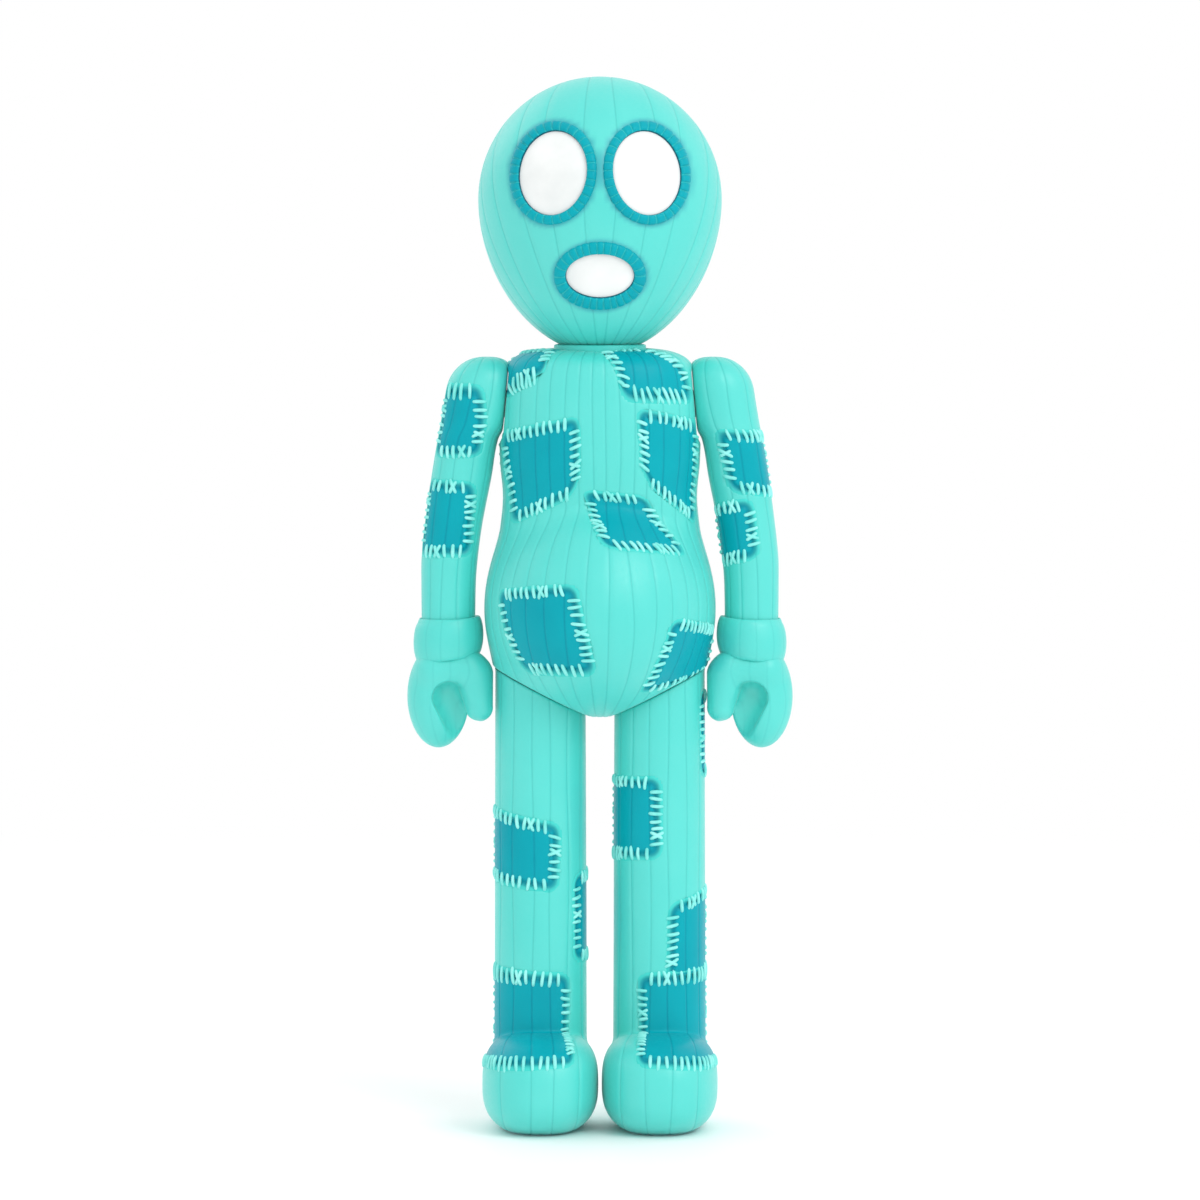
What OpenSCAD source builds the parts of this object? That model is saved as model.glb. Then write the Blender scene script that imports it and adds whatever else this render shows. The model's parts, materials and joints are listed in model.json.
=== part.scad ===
// Standing vinyl art toy: a masked, pot-bellied patchwork doll that swivels at
// neck, shoulders, wrists and hips. Front faces -Y, sole rests on z = 0.
// "left" and "right" are the figure's own: its left is +X.

/* [Head] */
// Widest radius of the head
head_r = 44; // [42:0.5:46]
// Height of the crown above the widest ring
head_up = 44.3; // [42:0.1:48]
// Reach of the chin curve below the widest ring, before it is trimmed flat
head_down = 56; // [55:0.5:58]
// Half width of an eye opening
eye_half_w = 11.9; // [10:0.1:12.5]
// Half height of an eye opening
eye_half_h = 15; // [12:0.5:16]
// Distance of each eye from the middle plane
eye_x = 16.7; // [16.5:0.1:18]
// Lean of each eye opening, tops together
eye_tilt = 10; // [0:1:15]
// Half width of the mouth opening
mouth_half_w = 12.1; // [10:0.1:13]
// Half height of the mouth opening
mouth_half_h = 7.7; // [6:0.1:9]

/* [Torso] */
// Height of the torso shell
torso_h = 131.5; // [130:0.5:133]
// Half width that the torso profile is a share of
torso_half_w = 40; // [39:0.5:41]
// Half depth that the torso profile is a share of
torso_half_d = 26; // [25:0.5:27]
// Half width and half height of the pot belly
belly_r = 41.5; // [40:0.5:42]
// Reach of the belly in front of the spine
belly_front = 45.5; // [43:0.5:46]
// Reach of the seat behind the spine
belly_back = 31; // [28:0.5:33]

/* [Arms] */
// Length of an arm shell from shoulder top to wrist end
arm_h = 95.8; // [95:0.2:97]
// Distance of the wrist axis from the middle plane
wrist_x = 55; // [54.8:0.1:56]
// Radius of the round wrist end
wrist_r = 9.7; // [9.4:0.1:10]
// Upward tilt of the shoulder axis
shoulder_tilt = 5; // [4:1:6]

/* [Legs] */
// Height of the hip joint above the floor
hip_z = 158; // [157:0.5:159]
// Distance of each leg's axis from the middle plane
leg_x = 21.6; // [21.4:0.1:22]
// Radius of the leg at the hip
leg_r = 16.4; // [16:0.1:16.6]
// Half width of the shoe
shoe_half_w = 21; // [20:0.1:21.1]
// Half length of the shoe
shoe_half_l = 32; // [30:0.5:34]
// How far the shoe's centre sits in front of the leg's axis
shoe_forward = 14; // [12:0.5:15]
// Slope of the hip joint from level
hip_tilt = 27; // [25:1:29]

/* [Making] */
// Thickness of the vinyl shells
wall = 2.5; // [2:0.1:3]
// Gap between two shells at a joint
joint_gap = 0.3; // [0.2:0.05:0.5]

/* [Hidden] */
RIGHT = -1;
LEFT = 1;

// Vinyl, paint and joint plastic colours
MINT = "mediumturquoise";
TEAL = "darkcyan";
WHITE = "white";
JOINT_GREY = "lightgray";

// Heights worked out from the driving dimensions
torso_bottom = hip_z - 8.9;
torso_top = torso_bottom + torso_h;
neck_z = torso_top + 0.4;          // top of the neck ring's flat
head_bottom = neck_z + joint_gap;
head_z = head_bottom + 54.4;       // widest ring of the head
shoulder_z = torso_top - 18.6;
arm_top = torso_top - 1.6;
wrist_z = arm_top - arm_h;         // end face of the arm shell
eye_z = head_z + 9.3;
mouth_z = head_z - 27.3;
face_rim_t = 1.2;                  // how far the bound rims stand proud
eye_rim_w = 3.4;
mouth_rim_w = 4.4;
insert_recess = 1.3;
insert_flange = 1.6;
insert_t = 1.6;
glue_gap = 0.05;

// Shoulder plane's distance from the middle, at the shoulder axis
shoulder_x = 34.2;
shoulder_seat_r = 14;               // flat on the torso that the arm turns against

// Moves the whole figure so that its bounding box is centred over the origin
y_off = (shoe_forward + shoe_half_l - head_r) / 2;
big = 400;

// Joint pegs: shaft radius at each joint
neck_shaft = 7;
shoulder_shaft = 5;
wrist_shaft = 3.2;
hip_shaft = 6;
shaft_play = 0.08;                 // radial running clearance in the ring
ring_lip = 3.2;                    // ring flange beyond the shaft
ring_sleeve = 1.6;                 // ring sleeve thickness
ring_lip_t = 1.6;
ring_len = 6;
boss_t = 4.4;                      // thickness of vinyl around a socket ring
end_wall = 3;                      // thickness of a limb's end face
peg_base = 3;                      // peg flange beyond the shaft
peg_base_t = 1.6;
peg_head = 1.2;                    // snap head beyond the shaft
peg_head_t = 2.4;
peg_slot_w = 1.2;

// ---- helpers ----------------------------------------------------------------

// Smooth curve through rows of [x, value, ...], read at x, column c
function segment(rows, x, i = 0) =
    i >= len(rows) - 2 || x < rows[i + 1][0] ? i : segment(rows, x, i + 1);
function slope(rows, i, c) =
    let (a = max(i - 1, 0), b = min(i + 1, len(rows) - 1))
    (rows[b][c] - rows[a][c]) / (rows[b][0] - rows[a][0]);
function curve(rows, x, c = 1) =
    let (
        i = segment(rows, x),
        w = rows[i + 1][0] - rows[i][0],
        s = max(0, min(1, (x - rows[i][0]) / w))
    )
    rows[i][c] * (1 + 2 * s) * (1 - s) * (1 - s)
    + rows[i + 1][c] * s * s * (3 - 2 * s)
    + w * slope(rows, i, c) * s * (1 - s) * (1 - s)
    - w * slope(rows, i + 1, c) * s * s * (1 - s);

// Quarter-round easing: 0 at d = 0, 1 at d = h and beyond, squareness p
function rounding(d, h, p) = d >= h ? 1 : pow(1 - pow(1 - max(d, 0) / h, p), 1 / p);

// Reach of a superellipse of half axes a, b in the direction th from the front
function reach(a, b, n, th) =
    1 / pow(pow(abs(sin(th)) / a, n) + pow(abs(cos(th)) / b, n), 1 / n);

// The larger of two lengths, blended over k where they are close
function blend_max(a, b, k) =
    let (h = max(k - abs(a - b), 0) / k) max(a, b) + h * h * k / 4;

// A closed solid through rings of points, lowest ring first
module loft(rings) {
    m = len(rings[0]);
    n = len(rings);
    sides = [
        for (i = [0 : n - 2], j = [0 : m - 1])
            let (a = i * m + j, b = i * m + (j + 1) % m)
            each [[a, a + m, b + m], [a, b + m, b]]
    ];
    ends = [
        [for (j = [0 : m - 1]) j],
        [for (j = [m - 1 : -1 : 0]) (n - 1) * m + j]
    ];
    polyhedron([for (r = rings) each r], concat(ends, sides), convexity = 6);
}

// Children on the figure's right are mirrored from its left
module on_side(side) {
    if (side == LEFT) children();
    else mirror([1, 0, 0]) children();
}

module centred() {
    translate([0, y_off, 0]) children();
}

// ---- joint hardware: local z = 0 is the middle of the gap, +z the moving limb ----

module socket_ring(r, gap = joint_gap) {
    rotate_extrude()
        polygon([
            [r + shaft_play, -gap / 2],
            [r + ring_lip, -gap / 2],
            [r + ring_lip, -gap / 2 - ring_lip_t],
            [r + ring_sleeve, -gap / 2 - ring_lip_t],
            [r + ring_sleeve, -gap / 2 - ring_len],
            [r + shaft_play, -gap / 2 - ring_len]
        ]);
}

module socket_cut(r, gap = joint_gap) {
    translate([0, 0, -gap / 2 - ring_len - 20])
        cylinder(r = r + ring_sleeve + glue_gap, h = ring_len + 20.1 + gap / 2, $fn = 48);
    translate([0, 0, -gap / 2 - ring_lip_t - glue_gap])
        cylinder(r = r + ring_lip + glue_gap, h = 20, $fn = 48);
}

module peg(r, child_wall = end_wall, gap = joint_gap) {
    base = gap / 2 + child_wall + glue_gap;
    head = -gap / 2 - ring_len - 0.3;
    difference() {
        rotate_extrude()
            polygon([
                [0, base + peg_base_t],
                [r + peg_base, base + peg_base_t],
                [r + peg_base, base],
                [r, base],
                [r, head],
                [r + peg_head, head],
                [r + peg_head, head - peg_head_t * 0.4],
                [r - peg_head, head - peg_head_t],
                [0, head - peg_head_t]
            ]);
        translate([-big / 2, -peg_slot_w / 2, head - peg_head_t - 1])
            cube([big, peg_slot_w, peg_head_t + 3]);
    }
}

// Hole for the peg through the end wall of the moving limb
module peg_cut(r) {
    translate([0, 0, -1]) cylinder(r = r + glue_gap, h = end_wall + 3, $fn = 48);
}

module at_neck() {
    translate([0, 0, neck_z + joint_gap / 2]) children();
}

// Left shoulder: the axis leans up by shoulder_tilt
module at_shoulder() {
    translate([shoulder_x, 0, shoulder_z])
        rotate([0, 90 - shoulder_tilt, 0]) children();
}

// Left wrist: the hand hangs below the arm
module at_wrist() {
    translate([wrist_x, 0, wrist_z - joint_gap / 2])
        rotate([180, 0, 0]) children();
}

// Left hip: the leg hangs below the sloping face
module at_hip() {
    translate([leg_x, 0, hip_z])
        rotate([0, 180 - hip_tilt, 0]) children();
}

// Everything on the moving side of a joint plane
module beyond(depth = 0) {
    translate([-big / 2, -big / 2, depth]) cube([big, big, big]);
}

// ---- head --------------------------------------------------------------------

// Height on the head's outline for a share of its radius, grown by g
function head_edge(t, g) =
    t >= 0
    ? [(head_r + g) * cos(t), head_z + (head_up + g) * sin(t)]
    : let (c = pow(cos(t), 2 / 1.9), s = pow(sin(-t), 2 / 1.9))
      [(head_r + g) * c, head_z - (head_down + g) * s];

// Solid of the head's outline grown by g, closed at the crown and chin
module head_solid(g) {
    steps = 44;
    rotate_extrude()
        polygon(concat(
            [[0, head_z - head_down - g]],
            [for (i = [1 : steps - 1]) head_edge(-90 + 180 * i / steps, g)],
            [[0, head_z + head_up + g]]
        ));
}

// Upright oval prism facing -Y, lengthened to pass through the front wall only
module oval(x, z, a, b, tilt) {
    translate([x, 0, z]) rotate([90, 0, 0]) linear_extrude(height = 80)
        rotate(tilt) polygon([for (i = [0 : 39]) [a * cos(9 * i), b * sin(9 * i)]]);
}

module eye_oval(side, grow) {
    oval(side * eye_x, eye_z, eye_half_w + grow, eye_half_h + grow, side * eye_tilt);
}

module mouth_oval(grow) {
    oval(0, mouth_z, mouth_half_w + grow, mouth_half_h + grow, 0);
}

module head_shell() {
    color(MINT) centred() difference() {
        head_solid(0);
        difference() {
            head_solid(-wall);
            translate([-big / 2, -big / 2, head_bottom + end_wall - big]) cube(big);
        }
        translate([-big / 2, -big / 2, head_bottom - big]) cube(big);
        at_neck() peg_cut(neck_shaft);
        eye_oval(LEFT, 0);
        eye_oval(RIGHT, 0);
        mouth_oval(0);
    }
}

// White piece set in an opening from behind, with a flange on the inner wall
module insert_piece() {
    difference() {
        intersection() {
            children(0);
            head_solid(-insert_recess);
        }
        head_solid(-wall - glue_gap - insert_t);
    }
    difference() {
        intersection() {
            children(1);
            head_solid(-wall - glue_gap);
        }
        head_solid(-wall - glue_gap - insert_t);
    }
}

module eye_insert(side) {
    color(WHITE) centred() insert_piece() {
        eye_oval(side, -0.12);
        eye_oval(side, insert_flange);
    }
}

module mouth_insert() {
    color(WHITE) centred() insert_piece() {
        mouth_oval(-0.12);
        mouth_oval(insert_flange);
    }
}

// Raised bound edge on the face around an opening
module rim_piece() {
    difference() {
        intersection() {
            children(1);
            head_solid(face_rim_t);
        }
        head_solid(glue_gap);
        children(0);
    }
}

module eye_rim(side) {
    color(TEAL) centred() rim_piece() {
        eye_oval(side, 0.1);
        eye_oval(side, eye_rim_w);
    }
}

module mouth_rim() {
    color(TEAL) centred() rim_piece() {
        mouth_oval(0.1);
        mouth_oval(mouth_rim_w);
    }
}

module neck_peg() {
    color(JOINT_GREY) centred() at_neck() peg(neck_shaft);
}

// The neck's ring carries a dished collar that the chin sits over
module neck_socket_ring() {
    r = neck_shaft;
    top = -joint_gap / 2;
    color(JOINT_GREY) centred() at_neck() rotate_extrude()
        polygon([
            [r + shaft_play, top],
            [10, top],
            [12, top + 0.8],
            [14, top + 1.6],
            [15.8, top + 2.5],
            [16.6, top + 2.2],
            [16.9, top - 0.35],
            [r + ring_sleeve, top - 0.35],
            [r + ring_sleeve, top - ring_len],
            [r + shaft_play, top - ring_len]
        ]);
}

// ---- torso ---------------------------------------------------------------------

// Rows of [share of height, half width, front depth, back depth], as shares
torso_profile = [
    [0.00, 0.93, 0.86, 0.86],
    [0.15, 0.97, 0.95, 0.98],
    [0.26, 0.98, 0.98, 1.02],
    [0.38, 0.95, 0.97, 0.94],
    [0.49, 0.915, 0.94, 0.87],
    [0.60, 0.88, 0.96, 0.88],
    [0.70, 0.905, 1.01, 0.93],
    [0.80, 0.91, 1.02, 0.96],
    [0.90, 0.885, 1.00, 0.95],
    [1.00, 0.83, 0.92, 0.90]
];
torso_foot_h = 18;                 // height of the bowl at the bottom
torso_head_h = 13;                 // height of the rounding at the top
belly_z = torso_bottom + 40;
belly_blend = 6;

// Distance from the spine to the torso's skin at height z, inset by g
function torso_reach(th, z, g) =
    let (
        t = (z - torso_bottom) / torso_h,
        ends = rounding(z - torso_bottom - g, torso_foot_h, 2.6)
             * rounding(torso_top - g - z, torso_head_h, 4),
        front = abs(th) < 90,
        barrel = reach(
            torso_half_w * curve(torso_profile, t, 1) - g,
            torso_half_d * curve(torso_profile, t, front ? 2 : 3) - g,
            2.25, th
        ) * ends,
        level = 1 - pow((z - belly_z) / (belly_r - g), 2),
        belly = level > 0
            ? reach(belly_r - g, (front ? belly_front : belly_back) - g, 2, th) * sqrt(level)
            : 0
    )
    blend_max(barrel, belly, belly_blend);

// Rings crowd together towards both ends, where the surface turns level
module torso_solid(g, rings, around) {
    low = torso_bottom + g;
    high = torso_top - g;
    loft([
        for (i = [0 : rings])
            let (z = low + (high - low) * (1 - cos(180 * (i * 0.96 + rings * 0.03) / rings)) / 2)
            [
                for (j = [0 : around - 1])
                    let (th = 360 * j / around - 180, r = torso_reach(th, z, g))
                    [r * sin(th), -r * cos(th), z]
            ]
    ]);
}

// Sloping hip faces, both sides
module hip_cuts(depth) {
    for (side = [LEFT, RIGHT])
        on_side(side) at_hip() beyond(depth);
}

module torso_hollow() {
    difference() {
        torso_solid(wall, 20, 28);
        hip_cuts(-joint_gap / 2 - end_wall);
        for (side = [LEFT, RIGHT]) {
            on_side(side) at_shoulder() translate([0, 0, -boss_t])
                cylinder(r = shoulder_shaft + 5, h = 20, $fn = 48);
        }
    }
}

module torso_shell() {
    color(MINT) centred() difference() {
        torso_solid(0, 30, 44);
        torso_hollow();
        hip_cuts(-joint_gap / 2);
        translate([-big / 2, -big / 2, neck_z - 0.4]) cube([big, big, big]);
        translate([0, 0, torso_top - ring_len - 10])
            cylinder(r = neck_shaft + ring_sleeve + glue_gap, h = 30, $fn = 48);
        for (side = [LEFT, RIGHT]) {
            on_side(side) at_shoulder() {
                translate([0, 0, -joint_gap / 2])
                    cylinder(r = shoulder_seat_r, h = 20, $fn = 96);
                socket_cut(shoulder_shaft);
            }
            on_side(side) at_hip() socket_cut(hip_shaft);
        }
    }
}

// ---- arms ----------------------------------------------------------------------

// Rows of [share of length up from the wrist, middle x, half width, half depth]
arm_profile = [
    [0.000, wrist_x, wrist_r, wrist_r],
    [0.150, wrist_x - 0.1, 9.9, 9.9],
    [0.240, wrist_x - 0.5, 10.2, 10.2],
    [0.370, wrist_x - 2.0, 10.4, 10.5],
    [0.545, wrist_x - 4.8, 10.9, 11.1],
    [0.690, wrist_x - 7.2, 11.0, 12.0],
    [0.745, wrist_x - 9.4, 12.2, 12.4],
    [0.830, wrist_x - 11.2, 12.6, 12.9],
    [0.920, wrist_x - 12.5, 12.5, 13.1],
    [1.000, wrist_x - 14.2, 12.0, 13.1]
];
arm_cap_h = 14;

module arm_solid(g, low, rings, around) {
    high = arm_top - g;
    loft([
        for (i = [0 : rings])
            let (
                z = low + (high - low) * sin(90 * i * 0.985 / rings),
                t = (z - wrist_z) / arm_h,
                cap = rounding(high - z, arm_cap_h, 2.6)
            )
            [
                for (j = [0 : around - 1])
                    let (
                        th = 360 * j / around,
                        r = reach(
                            (curve(arm_profile, t, 2) - g) * cap,
                            (curve(arm_profile, t, 3) - g) * cap,
                            2.1, th
                        )
                    )
                    [curve(arm_profile, t, 1) + r * sin(th), -r * cos(th), z]
            ]
    ]);
}

module arm_shell(side) {
    color(MINT) centred() on_side(side) difference() {
        arm_solid(0, wrist_z, 22, 36);
        difference() {
            arm_solid(2.1, wrist_z + boss_t, 14, 24);
            at_shoulder() mirror([0, 0, 1]) beyond(-joint_gap / 2 - end_wall);
        }
        at_shoulder() {
            mirror([0, 0, 1]) beyond(-joint_gap / 2);
            peg_cut(shoulder_shaft);
        }
        at_wrist() socket_cut(wrist_shaft);
    }
}

module shoulder_socket_ring(side) {
    color(JOINT_GREY) centred() on_side(side) at_shoulder() socket_ring(shoulder_shaft);
}

module shoulder_peg(side) {
    color(JOINT_GREY) centred() on_side(side) at_shoulder() peg(shoulder_shaft);
}

// ---- hands ---------------------------------------------------------------------

cuff_r = 12.7;
cuff_h = 15;
cuff_lip = 1.4;                    // how far the cuff stands up around the wrist

// Rolled cuff around the wrist axis, top at z = 0 of the hand
module cuff() {
    rotate_extrude()
        polygon(concat(
            [[0, -cuff_h + 2], [0, -cuff_lip], [wrist_r + 0.4, -cuff_lip], [wrist_r + 0.4, 0]],
            [
                for (i = [0 : 12])
                    let (t = 75 - 12.5 * i)
                    [wrist_r + 0.6 + (cuff_r - wrist_r - 0.6) * cos(t),
                     -cuff_h / 2 + cuff_h / 2 * sin(t)]
            ]
        ));
}

module ball(x, y, z, r) {
    translate([x, y, z]) sphere(r = r, $fn = 24);
}

// Mitten seen from the wrist down: palm, curled fingers and a thumb in front
module hand(side) {
    top = wrist_z - joint_gap + cuff_lip;
    color(MINT) centred() on_side(side) translate([wrist_x, 0, top]) difference() {
        union() {
            cuff();
            hull() {
                ball(0, 0, -17.5, 10.6);
                ball(4.2, 3, -27, 11);
                ball(3, 2.5, -37, 10.2);
            }
            hull() {
                ball(-6, -2, -19.5, 7);
                ball(-9.6, -3.6, -25, 5.8);
                ball(-10.2, -4.6, -31.5, 5.2);
            }
        }
        hull() {
            ball(-2.6, -8, -28.5, 5.4);
            ball(-2.6, -10, -41, 6);
            ball(-2.6, -20, -34, 9);
        }
        translate([0, 0, -cuff_lip - 11]) cylinder(r = wrist_shaft + glue_gap, h = 12, $fn = 48);
    }
}

module wrist_socket_ring(side) {
    color(JOINT_GREY) centred() on_side(side) at_wrist() socket_ring(wrist_shaft);
}

// The wrist peg is glued in a blind bore of the hand, so it has no base flange
module wrist_peg(side) {
    r = wrist_shaft;
    head = -joint_gap / 2 - ring_len - 0.3;
    color(JOINT_GREY) centred() on_side(side) at_wrist() difference() {
        rotate_extrude()
            polygon([
                [0, joint_gap / 2 + 10.8],
                [r, joint_gap / 2 + 10.8],
                [r, head],
                [r + peg_head, head],
                [r + peg_head, head - peg_head_t * 0.4],
                [r - peg_head, head - peg_head_t],
                [0, head - peg_head_t]
            ]);
        translate([-big / 2, -peg_slot_w / 2, head - peg_head_t - 1])
            cube([big, peg_slot_w, peg_head_t + 3]);
    }
}

// ---- legs ----------------------------------------------------------------------

shoe_mid_z = 16;
shoe_up = 19;
shoe_down = 17.8;
shoe_plan_n = 2.5;
shoe_top_p = 2.4;
shoe_foot_p = 3.2;

function shoe_share(z, g) =
    z >= shoe_mid_z
    ? pow(max(0, 1 - pow((z - shoe_mid_z) / (shoe_up - g), shoe_top_p)), 1 / shoe_top_p)
    : pow(max(0, 1 - pow((shoe_mid_z - z) / (shoe_down - g), shoe_foot_p)), 1 / shoe_foot_p);

function shoe_side(r, th, a, b) =
    pow(abs(r * sin(th)) / a, shoe_plan_n)
    + pow(abs(shoe_forward - r * cos(th)) / b, shoe_plan_n) - 1;

function bisect(th, a, b, low, high, n) =
    n == 0 ? (low + high) / 2
    : let (mid = (low + high) / 2)
      shoe_side(mid, th, a, b) < 0
      ? bisect(th, a, b, mid, high, n - 1)
      : bisect(th, a, b, low, mid, n - 1);

// Distance from the leg's axis to the shoe's skin at height z
function shoe_reach(th, z, g) =
    let (
        s = shoe_share(z, g),
        a = max(0.01, (shoe_half_w - g) * s),
        b = max(0.01, (shoe_half_l - g) * s),
        start = max(0, shoe_forward * cos(th))
    )
    shoe_side(start, th, a, b) < 0 ? bisect(th, a, b, start, 90, 16) : 0;

// Distance from the leg's axis to the skin: a slim cone that fades inside the shoe
function leg_reach(th, z, g) =
    let (
        fade = z < shoe_mid_z ? shoe_share(z, g) : 1,
        tube = (leg_r + 0.5 * max(0, 1 - z / hip_z) - g) * fade
    )
    blend_max(tube, shoe_reach(th, z, g), 1.5);

// Heights of the rings: by share of the shoe's outline, then up the leg
function leg_heights(g, tall) = concat(
    [
        for (s = [0.6, 0.74, 0.85, 0.93, 0.98, 1])
            shoe_mid_z - (shoe_down - g) * pow(1 - pow(s, shoe_foot_p), 1 / shoe_foot_p)
    ],
    [
        for (s = [0.97, 0.92, 0.85, 0.77, 0.68, 0.58, 0.46, 0.34, 0.22, 0.12])
            shoe_mid_z + (shoe_up - g) * pow(1 - pow(s, shoe_top_p), 1 / shoe_top_p)
    ],
    tall
);

module leg_solid(g, around) {
    loft([
        for (z = leg_heights(g, [36, 60, 90, 120, 145, 175]))
            [
                for (j = [0 : around - 1])
                    let (th = 360 * j / around, r = leg_reach(th, z, g))
                    [r * sin(th), -r * cos(th), z]
            ]
    ]);
}

module leg_shell(side) {
    color(MINT) centred() on_side(side) difference() {
        translate([leg_x, 0, 0]) leg_solid(0, 44);
        difference() {
            translate([leg_x, 0, 0]) leg_solid(wall, 28);
            at_hip() mirror([0, 0, 1]) beyond(-joint_gap / 2 - end_wall);
            translate([-big / 2, -big / 2, wall - big]) cube(big);
        }
        at_hip() {
            mirror([0, 0, 1]) beyond(-joint_gap / 2);
            peg_cut(hip_shaft);
        }
        translate([-big / 2, -big / 2, -big]) cube(big);
    }
}

module hip_socket_ring(side) {
    color(JOINT_GREY) centred() on_side(side) at_hip() socket_ring(hip_shaft);
}

module hip_peg(side) {
    color(JOINT_GREY) centred() on_side(side) at_hip() peg(hip_shaft);
}

// ---- nodes ---------------------------------------------------------------------

head_shell();
eye_insert(RIGHT);  // eye_insert_right
eye_insert(LEFT);  // eye_insert_left
mouth_insert();
eye_rim(RIGHT);  // eye_rim_right
eye_rim(LEFT);  // eye_rim_left
mouth_rim();
torso_shell();
neck_socket_ring();
neck_peg();
arm_shell(RIGHT);  // arm_shell_right
arm_shell(LEFT);  // arm_shell_left
shoulder_socket_ring(RIGHT);  // shoulder_socket_ring_right
shoulder_socket_ring(LEFT);  // shoulder_socket_ring_left
shoulder_peg(RIGHT);  // shoulder_peg_right
shoulder_peg(LEFT);  // shoulder_peg_left
hand(RIGHT);  // hand_right
hand(LEFT);  // hand_left
wrist_socket_ring(RIGHT);  // wrist_socket_ring_right
wrist_socket_ring(LEFT);  // wrist_socket_ring_left
wrist_peg(RIGHT);  // wrist_peg_right
wrist_peg(LEFT);  // wrist_peg_left
leg_shell(RIGHT);  // leg_shell_right
leg_shell(LEFT);  // leg_shell_left
hip_socket_ring(RIGHT);  // hip_socket_ring_right
hip_socket_ring(LEFT);  // hip_socket_ring_left
hip_peg(RIGHT);  // hip_peg_right
hip_peg(LEFT);  // hip_peg_left
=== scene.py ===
"""Looks of the patchwork vinyl doll: ribbed skins, sewn patches, bound face openings and mitten hands."""

import json
import math
import random

import bpy
import numpy as np
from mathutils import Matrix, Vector


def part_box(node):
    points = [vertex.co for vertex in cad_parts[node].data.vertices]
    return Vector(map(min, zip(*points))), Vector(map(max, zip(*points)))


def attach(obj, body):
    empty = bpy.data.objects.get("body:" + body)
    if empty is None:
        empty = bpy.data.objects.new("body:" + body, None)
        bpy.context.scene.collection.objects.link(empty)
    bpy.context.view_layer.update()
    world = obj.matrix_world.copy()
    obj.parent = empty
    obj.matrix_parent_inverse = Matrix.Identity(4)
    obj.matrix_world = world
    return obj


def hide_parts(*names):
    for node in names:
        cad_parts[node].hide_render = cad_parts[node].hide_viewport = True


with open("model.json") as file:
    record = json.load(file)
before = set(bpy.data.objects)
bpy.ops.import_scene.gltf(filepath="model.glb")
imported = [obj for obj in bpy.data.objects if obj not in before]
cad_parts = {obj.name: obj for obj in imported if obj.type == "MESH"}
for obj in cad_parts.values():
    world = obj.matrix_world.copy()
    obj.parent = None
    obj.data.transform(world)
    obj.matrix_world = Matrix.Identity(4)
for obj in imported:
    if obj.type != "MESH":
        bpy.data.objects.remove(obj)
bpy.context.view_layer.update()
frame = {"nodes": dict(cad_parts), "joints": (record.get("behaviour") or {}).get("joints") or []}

# ---- places taken from the frame, in millimetres ----

MM = 0.001
JOINTS = {j["name"]: j for j in frame["joints"]}


def joint_at(name):
    """Where a joint is, in millimetres."""
    return np.array(JOINTS[name]["pos_m"]) / MM


def joint_axis(name):
    """A left joint's axis, turned to point up and outwards."""
    x, _, z = JOINTS[name]["axis"]
    return np.array([abs(x), 0, abs(z)])


def box_mm(node):
    low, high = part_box(node)
    return np.array(low) / MM, np.array(high) / MM


NECK = joint_at("neck_turn")
SHOULDER = joint_at("shoulder_left")
WRIST = joint_at("wrist_left")
HIP = joint_at("hip_left")
SPINE_Y = NECK[1]
HALF_GAP = 0.15

head_low, head_high = box_mm("head_shell")
HEAD_R = (head_high[0] - head_low[0]) / 2
HEAD_UP = 44.3
HEAD_DOWN = 56.0
HEAD_Z = head_high[2] - HEAD_UP
HEAD_BOTTOM = head_low[2]

TORSO_TOP = NECK[2] - HALF_GAP - 0.4
TORSO_BOTTOM = HIP[2] - 8.9
TORSO_H = TORSO_TOP - TORSO_BOTTOM
COLLAR_R = 17.3
COLLAR_RISE = 1.7  # the shoulders stand this much above the neck's flat
ARM_TOP = box_mm("arm_shell_left")[1][2]
ARM_BOTTOM = WRIST[2] + HALF_GAP
ARM_H = ARM_TOP - ARM_BOTTOM
LEG_X = HIP[0]
HIP_TILT = math.atan2(*joint_axis("hip_left")[[0, 2]])
SHOULDER_AXIS = joint_axis("shoulder_left")


# ---- number helpers ----


def smooth(x, low, high):
    t = np.clip((x - low) / (high - low), 0, 1)
    return t * t * (3 - 2 * t)


def unit(x):
    return x / np.maximum(np.linalg.norm(x, axis=-1, keepdims=True), 1e-9)


def from_front(turn):
    """A turn between -180 and 180 degrees, 0 in front."""
    return (turn + 180) % 360 - 180


def around(x, r, turn, z):
    """Points at radius r and a turn counted from the front, about an upright axis at x."""
    a = np.radians(turn)
    return np.stack([x + r * np.sin(a), SPINE_Y - r * np.cos(a), z], -1)


def curve(rows, x, column=1):
    """Smooth curve through rows of (x, value, ...), as the part's own profiles are drawn."""
    rows = np.array(rows, float)
    xs, ys = rows[:, 0], rows[:, column]
    slopes = np.gradient(ys, xs)
    slopes[1:-1] = (ys[2:] - ys[:-2]) / (xs[2:] - xs[:-2])
    i = np.clip(np.searchsorted(xs, x, side="right") - 1, 0, len(xs) - 2)
    w = xs[i + 1] - xs[i]
    s = np.clip((x - xs[i]) / w, 0, 1)
    a, b = (1 + 2 * s) * (1 - s) ** 2, s * s * (3 - 2 * s)
    c, d = s * (1 - s) ** 2, -s * s * (1 - s)
    return a * ys[i] + b * ys[i + 1] + w * (c * slopes[i] + d * slopes[i + 1])


def reach(a, b, n, turn):
    """Reach of a superellipse of half axes a, b in a direction counted from the front."""
    t = np.radians(turn)
    return 1 / ((np.abs(np.sin(t)) / a) ** n + (np.abs(np.cos(t)) / b) ** n) ** (1 / n)


def blend_max(a, b, k):
    h = np.maximum(k - np.abs(a - b), 0) / k
    return np.maximum(a, b) + h * h * k / 4


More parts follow.
